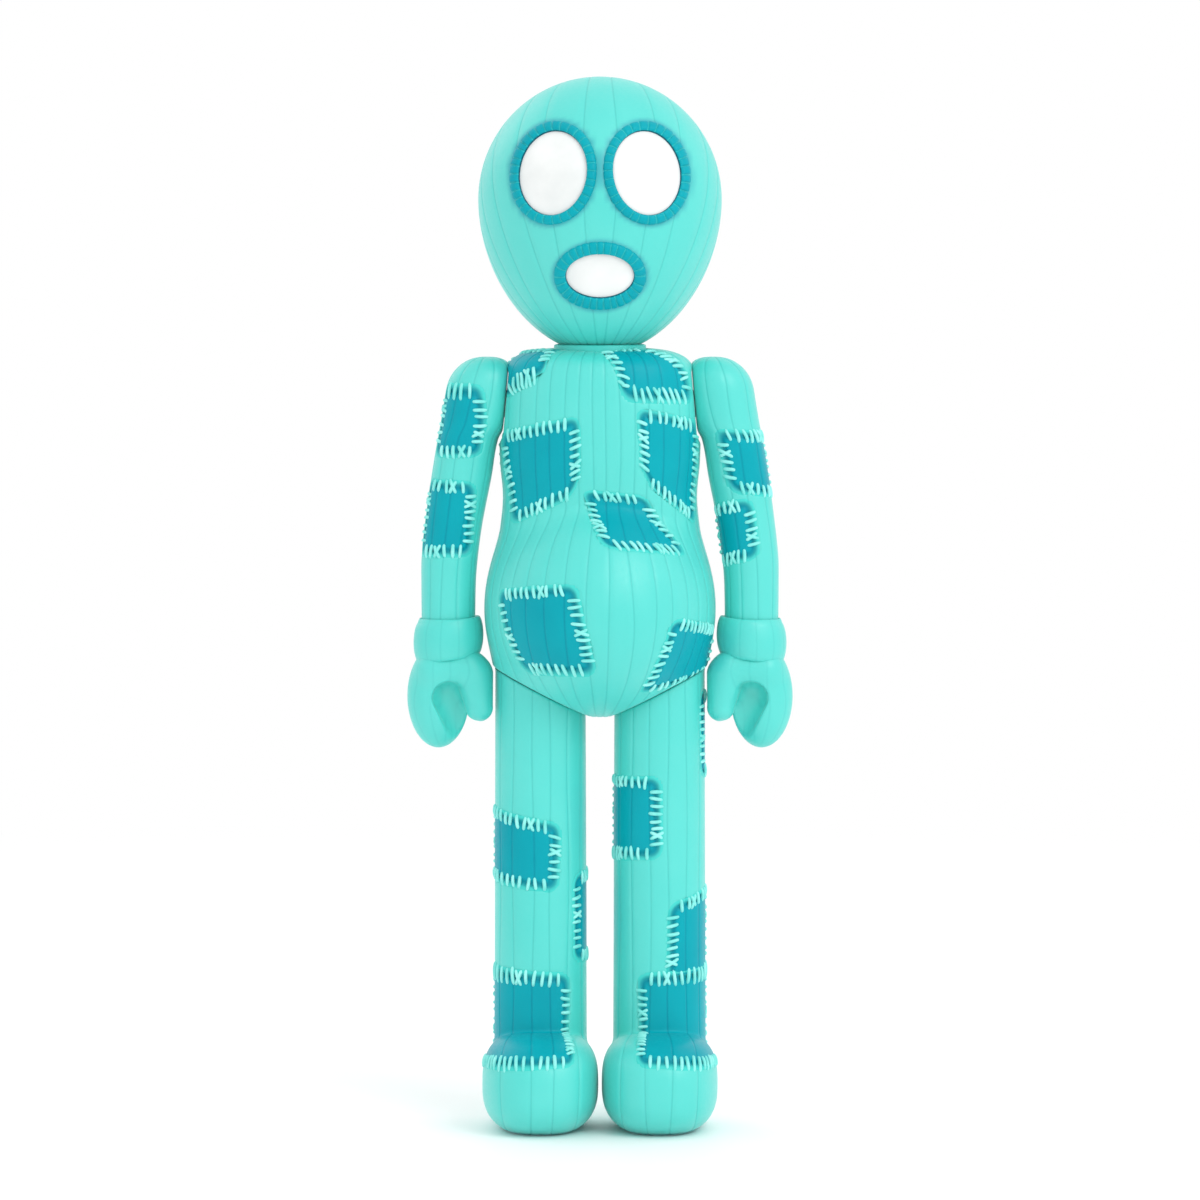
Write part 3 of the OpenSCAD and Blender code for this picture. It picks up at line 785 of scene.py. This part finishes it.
class Nodes:
    """A small help to build a material's nodes."""

    def __init__(self, name):
        self.material = bpy.data.materials.new(name)
        self.material.use_nodes = True
        self.tree = self.material.node_tree
        self.shader = self.tree.nodes["Principled BSDF"]

    def add(self, kind, **values):
        node = self.tree.nodes.new(kind)
        for key, value in values.items():
            socket = node.inputs.get(key.replace("_", " ").title())
            if socket is None:
                setattr(node, key, value)
            else:
                socket.default_value = value
        return node

    def link(self, a, b):
        self.tree.links.new(a, b)

    def noise(self, scale, detail):
        where = self.add("ShaderNodeTexCoord")
        noise = self.add("ShaderNodeTexNoise", scale=scale, detail=detail)
        self.link(where.outputs["Object"], noise.inputs["Vector"])
        return noise.outputs["Fac"]

    def spread(self, noise, low, high):
        """The middle of a noise's range, spread from low to high."""
        node = self.add("ShaderNodeMapRange", from_min=0.35, from_max=0.65, to_min=low, to_max=high)
        self.link(noise, node.inputs["Value"])
        return node.outputs["Result"]

    def mix(self, amount, a, b):
        node = self.add("ShaderNodeMix", data_type="RGBA")
        for socket, value in ((0, amount), (6, a), (7, b)):
            if hasattr(value, "is_output"):
                self.link(value, node.inputs[socket])
            else:
                node.inputs[socket].default_value = value
        return node.outputs[2]

    def times(self, a, factor):
        node = self.add("ShaderNodeMath", operation="MULTIPLY")
        self.link(a, node.inputs[0])
        node.inputs[1].default_value = factor
        return node.outputs[0]

    def bump(self, height, strength, distance):
        node = self.add("ShaderNodeBump")
        node.inputs["Strength"].default_value = strength
        node.inputs["Distance"].default_value = distance
        self.link(height, node.inputs["Height"])
        self.link(node.outputs["Normal"], self.shader.inputs["Normal"])

    def tone(self):
        attribute = self.add("ShaderNodeAttribute", attribute_name="tone")
        parts = self.add("ShaderNodeSeparateColor")
        self.link(attribute.outputs["Color"], parts.inputs["Color"])
        return parts.outputs


MINT = linear(78, 212, 203)
MINT_DEEP = linear(52, 205, 196)
# painted shade: the colour the mint takes in a knit line's groove
MINT_GROOVE_SHADE = linear(10, 172, 168)
TEAL = linear(0, 165, 178)
TEAL_DEEP = linear(0, 152, 168)
# painted shade: the colour the teal takes in a knit line's groove and in a patch's channel
TEAL_GROOVE_SHADE = linear(0, 108, 134)
THREAD = linear(154, 241, 234)
THREAD_DEEP = linear(112, 224, 216)
WHITE = linear(242, 244, 243)
WHITE_DEEP = linear(226, 230, 229)


def vinyl(name, roughness=0.46, gloss=0.95, sheen=0.2, shade=0.42, shade_colour=TEAL_GROOVE_SHADE):
    """Soft vinyl with its paint: tone is paint, painted shade in the knit lines and painted shade in the
    channels.
    """
    n = Nodes(name)
    paint, line, channel = n.tone()[:3]
    cloud = n.spread(n.noise(38.0, 2.0), 0.0, 1.0)
    grain = n.noise(900.0, 2.0)
    mint = n.mix(n.times(cloud, 0.35), MINT, MINT_DEEP)
    # painted shade darkens the knit lines' grooves
    mint = n.mix(n.times(line, 0.4), mint, MINT_GROOVE_SHADE)
    teal = n.mix(n.times(cloud, 0.6), TEAL, TEAL_DEEP)
    teal = n.mix(n.times(line, 0.4), teal, TEAL_GROOVE_SHADE)
    skin = n.mix(paint, mint, teal)
    # painted shade darkens the channels round patches, the rims' inner walls and the soles' lowest edge
    skin = n.mix(n.times(channel, shade), skin, shade_colour)
    n.link(skin, n.shader.inputs["Base Color"])
    n.link(n.spread(grain, roughness - 0.05, roughness + 0.06), n.shader.inputs["Roughness"])
    for socket, value in (
        ("IOR", 1.45), ("Specular IOR Level", gloss), ("Sheen Weight", sheen), ("Sheen Roughness", 0.4),
        ("Subsurface Weight", 0.08), ("Subsurface Radius", (0.4, 1.0, 0.9)), ("Subsurface Scale", 0.0012),
    ):
        n.shader.inputs[socket].default_value = value
    n.bump(n.noise(420.0, 4.0), 0.08, 0.0004)
    return n.material


def plain(name, light, deep, roughness, scale):
    """Plastic that drifts between two shades, without paint."""
    n = Nodes(name)
    cloud = n.spread(n.noise(scale, 4.0), 0.0, 1.0)
    n.link(n.mix(cloud, light, deep), n.shader.inputs["Base Color"])
    grain = n.noise(scale * 6, 3.0)
    n.link(n.spread(grain, roughness - 0.05, roughness + 0.06), n.shader.inputs["Roughness"])
    n.shader.inputs["IOR"].default_value = 1.47
    n.bump(n.noise(scale * 9, 4.0), 0.06, 0.0004)
    return n.material


VINYL = vinyl("ribbed vinyl")
PAINTED = vinyl("sewn patch", 0.36, gloss=0.14, sheen=0.02)
# the bound rim's channel colour is painted shadow on its inner wall, where it drops into the opening
BINDING = vinyl("bound rim", 0.38, gloss=0.14, sheen=0.02, shade=0.9, shade_colour=linear(0, 70, 88))
STITCH = plain("moulded thread", THREAD, THREAD_DEEP, 0.45, 160.0)
INSERT = plain("white insert", WHITE, WHITE_DEEP, 0.5, 45.0)
JOINT = plain("joint plastic", linear(196, 214, 212), linear(178, 200, 198), 0.38, 70.0)

COLLAR = plain("mint joint plastic", MINT, MINT_DEEP, 0.42, 70.0)
for name, node in frame["nodes"].items():
    node.data.materials.clear()
    node.data.materials.append(COLLAR if name == "neck_socket_ring" else JOINT)


# ---- torso ----

V_LOW = torso_path(TORSO_BOTTOM + 0.001)
V_HIGH = torso_path(TORSO_TOP + COLLAR_RISE - 0.0001)

torso = Skin("torso_skin", torso_point, lines=34, seed=11, first=4.5, trim=torso_trim)
TORSO_PATCHES = [
    # over the figure's right and left shoulders, beside the neck
    ((-112, 279.5), (-52, 281.6), (-45, 275), (-74, 266), SOFT),
    ((6, 281.6), (52, 281.6), (68, 265), (20, 266), SOFT),
    # chest
    ((-74, 250), (-19, 256), (-19, 232), (-66, 221), (2.4, 2.4, 7, 2.4)),
    ((31, 259), (73, 254), (74, 221), (34, 236), (2.4, 2.4, 2.4, 7)),
    ((-10, 230), (34, 228), (52, 210), (4, 213), SOFT),
    # belly
    ((-57, 194), (-13, 197), (-5, 168), (-46, 168), SOFT),
    ((38, 184), (82, 180), (84, 166), (30, 160), SOFT),
    # back, guessed
    ((150, 262), (196, 258), (200, 236), (152, 234), SOFT),
    ((218, 246), (262, 250), (258, 222), (222, 218), SOFT),
    ((120, 214), (172, 218), (168, 188), (124, 184), SOFT),
    ((196, 200), (244, 204), (240, 172), (200, 176), SOFT),
]
for *corners, rounds in TORSO_PATCHES:
    torso.add_patch([(turn, torso_path(z)) for turn, z in corners], rounds)
piece = torso.build_skin(np.linspace(V_LOW, V_HIGH, 236), 3)
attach(piece, "torso")
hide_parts("torso_shell")
sew(torso, "torso")


# ---- arms ----

ARM_PATCHES = {
    "right": [
        ((75, 266), (2, 266), (-24, 245), (66, 245)),
        ((74, 233), (-24, 232), (-40, 209), (74, 209)),
        ((150, 240), (226, 238), (222, 214), (154, 218)),
    ],
    "left": [
        ((-20, 251), (98, 250), (98, 230), (-15, 232)),
        ((-88, 223), (8, 226), (8, 208), (-88, 205)),
        ((140, 260), (214, 258), (210, 236), (142, 238)),
    ],
}
ARM_V_TOP = ARM_TOP - CAP_H + CAP_SPAN * CAP_TURN
for side, patches in ARM_PATCHES.items():
    arm = Skin(
        f"arm_skin_{side}", arm_point, lines=11, seed=21 + len(side), first=12, trim=arm_trim,
        mirrored=side == "right",
    )
    for corners in patches:
        arm.add_patch(corners)
    piece = arm.build_skin(np.linspace(ARM_BOTTOM, ARM_V_TOP, 150), 4)
    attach(piece, f"arm_{side}")
    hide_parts(f"arm_shell_{side}")
    sew(arm, f"arm_{side}")


# ---- legs ----

LEG_PATCHES = {
    "right": [
        ((100, 115), (-20, 109), (-17, 88), (100, 92)),
        ((-53, 90), (-122, 92), (-120, 62), (-53, 62)),
        ((98, 56), (-34, 54), (-30, 8), (98, 6)),
        ((150, 140), (224, 138), (220, 108), (154, 112)),
    ],
    "left": [
        ((-100, 128), (-5, 126), (-4, 100), (-100, 99)),
        ((70, 150), (148, 148), (146, 127), (72, 127)),
        ((-23, 54), (98, 56), (98, 6), (-18, 8)),
        ((17, 80), (98, 86), (98, 52), (15, 51)),
        ((170, 104), (236, 108), (232, 74), (174, 78)),
    ],
}
# One patch's lower side, the third, is tucked under the shoe's patch and has no stitches
TUCKED = {("left", 3): 2}
for side, patches in LEG_PATCHES.items():
    leg = Skin(
        f"leg_skin_{side}", leg_point, lines=15, seed=31 + len(side), first=10, place=leg_place,
        trim=leg_trim, mirrored=side == "right",
    )
    for k, corners in enumerate(patches):
        leg.add_patch(corners, bare=TUCKED.get((side, k)))
    rows = np.concatenate([
        np.linspace(SHOE_RAYS[-1][0], ANKLE, 100, endpoint=False),
        np.linspace(ANKLE, HIP[2], 100, endpoint=False),
        np.linspace(HIP[2], HIP[2] + HIP_FACE * 0.9, 10),
    ])
    # the shoes take painted shade in their lowest 1.6 mm, next to the floor
    piece = leg.build_skin(rows, 5, shade_below=1.6)
    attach(piece, f"leg_{side}")
    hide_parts(f"leg_shell_{side}")
    sew(leg, f"leg_{side}")


# ---- hands ----

HAND_TOP = box_mm("hand_left")[1][2]
CUFF_R, CUFF_H, CUFF_LIP, WRIST_R = 12.7, 15.0, 1.4, 9.7


def capsule(p, a, b, ra, rb):
    """Distance to a ball of radius ra swept to one of radius rb."""
    a, b = np.array(a, float), np.array(b, float)
    t = np.clip((p - a) @ (b - a) / ((b - a) @ (b - a)), 0, 1)
    return np.linalg.norm(p - a - t[..., None] * (b - a), axis=-1) - (ra + (rb - ra) * t)


def egg(p, centre, radii):
    """About the distance to an ellipsoid."""
    q = (p - np.array(centre)) / np.array(radii)
    far = np.linalg.norm(q, axis=-1)
    return far * (far - 1) / np.maximum(np.linalg.norm(q / np.array(radii), axis=-1), 1e-6)


def hand_field(p):
    """Below 0 inside the mitten; x outwards from the wrist's axis, y to the back, z down from its top."""
    bulb = egg(p, (3.7, 1.0, -28.5), (11.3, 10.6, 18.8))
    thumb = capsule(p, (-9.4, -3.6, -20.5), (-11.1, -5.4, -32.2), 6.7, 4.9)
    web = capsule(p, (-7.5, -4.2, -17.8), (4.5, -3.6, -18.5), 6.4, 7.2)
    body = soft_min(soft_min(bulb, web, 2.5), thumb, 2.5)
    pocket = soft_min(
        capsule(p, (-0.3, -8.0, -28.6), (-8.2, -6.4, -44), 6.0, 6.3),
        capsule(p, (-1.2, -16, -29), (-10, -15, -45), 6.8, 8.2),
        2.5,
    )
    palm = -soft_min(-body, pocket, 1.3)
    return soft_min(palm, thumb, 1.0)


def solid_mesh(field, low, high, step):
    """Quads on the zero level of a field, one point to each cell that it crosses."""
    axes = [np.arange(a, b + step, step) for a, b in zip(low, high)]
    grid = np.stack(np.meshgrid(*axes, indexing="ij"), -1)
    f = field(grid)
    shape = np.array(f.shape) - 1
    total = np.zeros(tuple(shape) + (3,))
    hits = np.zeros(tuple(shape))
    for axis in range(3):
        others = [k for k in range(3) if k != axis]
        for u, w in ((0, 0), (0, 1), (1, 0), (1, 1)):
            a = np.zeros(3, int)
            a[others[0]], a[others[1]] = u, w
            b = a.copy()
            b[axis] = 1
            fa = f[a[0] : a[0] + shape[0], a[1] : a[1] + shape[1], a[2] : a[2] + shape[2]]
            fb = f[b[0] : b[0] + shape[0], b[1] : b[1] + shape[1], b[2] : b[2] + shape[2]]
            cross = (fa < 0) != (fb < 0)
            t = np.where(cross, fa / np.where(cross, fa - fb, 1), 0)
            where = a + (b - a) * t[..., None]
            total += where * cross[..., None]
            hits += cross
    cells = hits > 0
    index = np.full(tuple(shape), -1)
    index[cells] = np.arange(cells.sum())
    corner = np.stack(np.nonzero(cells), -1)
    verts = (corner + total[cells] / hits[cells][:, None]) * step + np.array([a[0] for a in axes])
    quads = []
    for axis in range(3):
        u, w = (axis + 1) % 3, (axis + 2) % 3
        fa = np.moveaxis(f, (axis, u, w), (0, 1, 2))
        ix = np.moveaxis(index, (axis, u, w), (0, 1, 2))
        inside = fa < 0
        cross = inside[:-1, 1:-1, 1:-1] != inside[1:, 1:-1, 1:-1]
        i, j, k = np.nonzero(cross)
        quad = np.stack([ix[i, j, k], ix[i, j + 1, k], ix[i, j + 1, k + 1], ix[i, j, k + 1]], -1)
        flip = ~inside[:-1, 1:-1, 1:-1][i, j, k]
        quad[flip] = quad[flip][:, ::-1]
        quads.append(quad)
    return verts, np.vstack(quads)


def field_normals(field, points):
    return unit(np.stack([field(points + s) - field(points - s) for s in np.eye(3) * 0.05], -1))


# The rolled cuff's section from the wrist's axis round to under it: radius, height
CUFF_PATH = [(0.0, -CUFF_LIP), (5.0, -CUFF_LIP), (9.2, -CUFF_LIP), (WRIST_R + 0.3, -CUFF_LIP + 0.1),
             (WRIST_R + 0.4, -CUFF_LIP + 0.5), (WRIST_R + 0.45, -0.4)]
CUFF_PATH += [
    (WRIST_R + 0.6 + (CUFF_R - WRIST_R - 0.6) * math.cos(t), -CUFF_H / 2 + CUFF_H / 2 * math.sin(t))
    for t in np.radians(np.linspace(86, -88, 34))
]
CUFF_PATH += [(8.0, -CUFF_H + 0.5), (4.0, -CUFF_H + 1)]


def cuff_point(turn, v):
    """v counts along CUFF_PATH."""
    rows = np.arange(len(CUFF_PATH))
    r = np.interp(v, rows, [p[0] for p in CUFF_PATH])
    z = np.interp(v, rows, [p[1] for p in CUFF_PATH])
    return around(WRIST[0], r, turn, HAND_TOP + z)


hand_verts, hand_quads = solid_mesh(hand_field, (-19, -17, -51), (18, 16, -8), 0.42)
# pulled onto the field's own surface
for _ in range(3):
    n = field_normals(hand_field, hand_verts)
    hand_verts = hand_verts - n * np.clip(hand_field(hand_verts), -0.3, 0.3)[:, None]


def hand_lines(points):
    """1 on a knit line of the mitten: the lines run down it and lean in with it."""
    x, y, z = points.T
    middle = np.interp(z, [-47, -20], [1.5, -0.5])
    turn = np.degrees(np.arctan2(x - middle, -(y - 0.5)))
    radius = np.hypot(x - middle, y - 0.5)
    gap = (turn + 15 + 2.5 * np.sin(z * 0.25)) % 30 - 15
    return np.clip(1 - np.abs(np.radians(gap)) * radius / 0.55, 0, 1) * smooth(radius, 2.5, 5)


for side in ("right", "left"):
    flip = np.array([-1 if side == "right" else 1, 1, 1])
    line = hand_lines(hand_verts) * 0.5
    mitten = hand_verts - n * (0.1 * line)[:, None] + [WRIST[0], SPINE_Y, HAND_TOP]
    cuff = Skin(f"cuff_{side}", cuff_point, lines=12, seed=41 + len(side), first=8)
    turn, v, cuff_line = cuff.skin_grid(np.arange(len(CUFF_PATH)), 3)
    cuff_line = cuff_line * smooth(v, 4.5, 6.5) * 0.5
    roll = cuff_point(turn, v) + cuff.normals(turn, v) * (0.1 * cuff_line)[..., None]
    roll[..., 2] -= 0.12 * (roll[..., 0] - WRIST[0]) * smooth(v, 5, 10)
    rows, columns = turn.shape
    start = len(mitten)
    count = start + rows * columns
    verts = np.vstack([mitten, roll.reshape(-1, 3), [[WRIST[0], SPINE_Y, HAND_TOP - CUFF_H + 1.2]]]) * flip
    tone = np.zeros((len(verts), 3))
    # painted shade in the knit lines of the mitten and the cuff
    tone[:start, 1] = line
    tone[start:count, 1] = cuff_line.ravel()
    ring = np.arange(columns) + count - columns
    cap = fan(ring, count)
    sheet = grid_faces(rows, columns, True, start)[:, ::-1]
    piece = make_object(f"hand_skin_{side}", verts, [hand_quads, sheet, cap[:, ::-1]], tone, VINYL)
    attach(piece, f"hand_{side}")
    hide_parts(f"hand_{side}")


# ---- head ----

EYE_X, EYE_Z, EYE_A, EYE_B, EYE_TILT = 16.7, HEAD_Z + 9.3, 11.9, 15.0, 10.0
MOUTH_Z, MOUTH_A, MOUTH_B = HEAD_Z - 27.3, 12.1, 7.7
OPENINGS = {
    "eye_{}_right": (-EYE_X, EYE_Z, EYE_A, EYE_B, -EYE_TILT, 3.5, 32),
    "eye_{}_left": (EYE_X, EYE_Z, EYE_A, EYE_B, EYE_TILT, 3.5, 32),
    "mouth_{}": (0.0, MOUTH_Z, MOUTH_A, MOUTH_B, 0.0, 4.4, 30),
}


def opening_distance(opening, x, z):
    """About how far a point of the face lies outside an opening's edge."""
    x0, z0, a, b, tilt = opening[:5]
    c, s = math.cos(math.radians(tilt)), math.sin(math.radians(tilt))
    u, w = (x - x0) * c + (z - z0) * s, (z - z0) * c - (x - x0) * s
    rho = np.sqrt((u / a) ** 2 + (w / b) ** 2)
    return (rho - 1) * np.hypot(u, w) / np.maximum(rho, 1e-6)


head = Skin("head_skin", head_point, lines=32, seed=51, first=360 / 64, trim=head_trim)
turn, v, line = head.skin_grid(np.linspace(1.5, 178.5, 240), 4)
line = line * smooth(v, 6, 14) * smooth(v, 176, 168)
points = head.point(turn, v)
normals = head.normals(turn, v)
sink, spray = np.zeros(v.shape), np.zeros(v.shape)
hole = np.full(v.shape, 99.0)
for opening in OPENINGS.values():
    d = np.where(points[..., 1] < 0, opening_distance(opening, points[..., 0], points[..., 2]), 99)
    sink = np.maximum(sink, smooth(d, opening[5] - 0.5, opening[5] - 1.6))
    spray = np.maximum(spray, smooth(d, opening[5] + 1.9, opening[5]))
    hole = np.minimum(hole, d)
verts, faces = closed_tube(head.finish(points + normals * (-LINE_DEPTH * line - 0.8 * sink)[..., None]))
near = hole.ravel()[faces[0]]
faces[0] = faces[0][~((near < 1.2).all(1) | (near < 0.4).any(1))]
tone = np.zeros((len(verts), 3))
tone[:-2, 0] = 0.75 * spray.ravel()
# painted shade in the knit lines' grooves
tone[:-2, 1] = line.ravel()
piece = make_object("head_skin", verts, faces, tone, VINYL)
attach(piece, "head")
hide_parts("head_shell")

# Cross-section of a bound rim: share of its width out from the opening, height above the skin
RIM_SECTION = [
    (0.0, -3.2), (0.0, -1.4), (0.0, 0.1), (0.03, 0.62), (0.1, 0.98), (0.22, 1.2), (0.4, 1.28), (0.6, 1.24),
    (0.78, 1.06), (0.9, 0.74), (0.97, 0.35), (1.0, -0.1), (1.0, -0.9), (0.5, -1.3), (0.15, -1.6),
]
RIM_MIDDLE = 1.6  # from the opening's edge to where the rim's blocks are measured


def face_at(opening, x, z):
    """face_point of a place counted from an opening's middle and along its tilted axes."""
    x0, z0, _, _, tilt = opening[:5]
    c, s = math.cos(math.radians(tilt)), math.sin(math.radians(tilt))
    return face_point(x0 + x * c - z * s, z0 + x * s + z * c)


def rim(name, opening, seed):
    """The bound edge round an opening: a row of soft blocks of uneven length and height."""
    a, b, _, width, blocks = opening[2:]
    rng = random.Random(seed)
    fine = np.linspace(0, 2 * math.pi, 4001)
    steps = np.hypot(np.diff((a + RIM_MIDDLE) * np.cos(fine)), np.diff((b + RIM_MIDDLE) * np.sin(fine)))
    length = np.concatenate([[0], np.cumsum(steps)])
    cuts = np.array([(k + rng.uniform(-0.1, 0.1)) / blocks for k in range(blocks)]) * length[-1]
    along, near, block = [], [], []
    spots = [0, 0.12, 0.24, 0.42, 0.8]
    for k in range(blocks):
        a0, a1 = cuts[k], cuts[(k + 1) % blocks] + (length[-1] if k == blocks - 1 else 0)
        stops = [a0 + s for s in spots] + list(np.linspace(a0 + 1.1, a1 - 1.1, 3))
        for s in stops + [a1 - s for s in spots[:0:-1]]:
            along.append(s % length[-1])
            near.append(min(s - a0, a1 - s))
            block.append(k)
    order = np.argsort(along)
    along, near, block = (np.array(q)[order] for q in (along, near, block))
    phi = np.interp(along, length, fine)
    lift = np.array([rng.uniform(0.9, 1.08) for _ in range(blocks)])[block]
    dip = np.exp(-((near / 0.3) ** 2))
    share = np.array([s for s, _ in RIM_SECTION])[:, None]
    height = np.array([h for _, h in RIM_SECTION])[:, None]
    wide = width * (1 - 0.05 * dip)
    nx, nz = np.cos(phi) / a, np.sin(phi) / b
    size = np.hypot(nx, nz)
    out = 0.06 + share * wide
    x = a * np.cos(phi) + out * nx / size
    z = b * np.sin(phi) + out * nz / size
    p, n = face_at(opening, x, z)
    top = np.clip(height, 0, None)
    h = np.where(height > 0, top * (lift - 0.42 * dip), height)
    points = p + n * h[..., None]
    rows, columns = h.shape
    first = np.arange(columns)
    last = first + (rows - 1) * columns
    seam = np.stack([last, np.roll(last, -1), np.roll(first, -1), first], -1)
    quads = np.vstack([grid_faces(rows, columns, True), seam])
    tone = np.zeros(h.shape + (3,))
    tone[..., 0] = 1 - 0.6 * np.exp(-((near / 0.16) ** 2)) * (height > 0.5)
    # painted shadow on the inner wall, down into the opening
    tone[..., 2] = (height < 0.2) * (share < 0.05) * 1.0
    return make_object(name, points.reshape(-1, 3), [quads], tone.reshape(-1, 3), BINDING)


def insert(name, opening):
    """White piece behind an opening: a gently domed front, a skirt and a back."""
    a, b = opening[2:4]
    phi = np.radians(np.arange(0, 360, 3))
    rings = [(q, -0.35 + 0.3 * (1 - q * q), 0.0) for q in np.linspace(0.04, 1, 22)]
    rings += [(1.0, -0.4, 0.5), (1.0, -1.0, 0.9), (1.0, -2.9, 0.9)]
    rings += [(q, -2.9, 0.0) for q in np.linspace(0.95, 0.04, 10)]
    points = []
    for q, depth, grow in rings:
        x, z = (a * q + grow) * np.cos(phi), (b * q + grow) * np.sin(phi)
        p, n = face_at(opening, x, z)
        points.append(p + n * depth)
    verts, faces = closed_tube(np.array(points))
    return make_object(name, verts, faces, None, INSERT)


for k, (name, opening) in enumerate(OPENINGS.items()):
    piece = rim(name.format("binding"), opening, 60 + k)
    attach(piece, "head")
    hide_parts(name.format("rim"))
    piece = insert(name.format("white"), opening)
    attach(piece, "head")
    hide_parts(name.format("insert"))


# ---- stage, light and camera ----

scene = bpy.context.scene
FLOOR_R, FLOOR_SIDES = 6.0, 96
mesh = bpy.data.meshes.new("floor")
angles = np.linspace(0, 2 * math.pi, FLOOR_SIDES, endpoint=False)
ring = [(FLOOR_R * math.cos(t), FLOOR_R * math.sin(t), 0) for t in angles]
mesh.from_pydata(ring, [], [list(range(FLOOR_SIDES))])
floor = bpy.data.objects.new("floor", mesh)
scene.collection.objects.link(floor)
# The floor fades with distance into a white glow, so that no horizon shows
n = Nodes("pale floor")
n.shader.inputs["Base Color"].default_value = (1, 1, 1, 1)
n.shader.inputs["Roughness"].default_value = 0.6
where = n.add("ShaderNodeTexCoord")
length = n.add("ShaderNodeVectorMath", operation="LENGTH")
n.link(where.outputs["Object"], length.inputs[0])
fade = n.add("ShaderNodeMapRange", interpolation_type="SMOOTHSTEP", from_min=0.35, from_max=1.1)
n.link(length.outputs["Value"], fade.inputs["Value"])
glow = n.add("ShaderNodeEmission", color=(1, 1, 1, 1), strength=1.0)
blend = n.add("ShaderNodeMixShader")
n.link(fade.outputs["Result"], blend.inputs[0])
n.link(n.shader.outputs[0], blend.inputs[1])
n.link(glow.outputs[0], blend.inputs[2])
n.link(blend.outputs[0], n.tree.nodes["Material Output"].inputs["Surface"])
mesh.materials.append(n.material)

world = bpy.data.worlds.new("white room")
world.use_nodes = True
background = world.node_tree.nodes["Background"].inputs
background["Color"].default_value = (1, 1, 1, 1)
background["Strength"].default_value = 1.0
scene.world = world


def area_light(name, place, aim, size, power):
    light = bpy.data.lights.new(name, "AREA")
    light.shape, light.size, light.energy = "DISK", size, power
    obj = bpy.data.objects.new(name, light)
    obj.location = place
    obj.rotation_euler = (Vector(aim) - Vector(place)).to_track_quat("-Z", "Y").to_euler()
    scene.collection.objects.link(obj)


area_light("key", (1.2, -1.5, 1.6), (0, 0, 0.2), 1.4, 17)
area_light("rim", (-1.2, 1.2, 1.2), (0, 0, 0.2), 1.2, 3)

camera = bpy.data.cameras.new("camera")
camera.lens, camera.sensor_width = 182.0, 36
camera.clip_end = 50
eye = bpy.data.objects.new("camera", camera)
RISE, AWAY, AIM_Z = math.radians(3.5), 2.2, 0.1908
eye.location = (0, -AWAY * math.cos(RISE), AIM_Z + AWAY * math.sin(RISE))
eye.rotation_euler = (math.pi / 2 - RISE, 0, 0)
scene.collection.objects.link(eye)
scene.camera = eye
scene.view_settings.view_transform = "Standard"
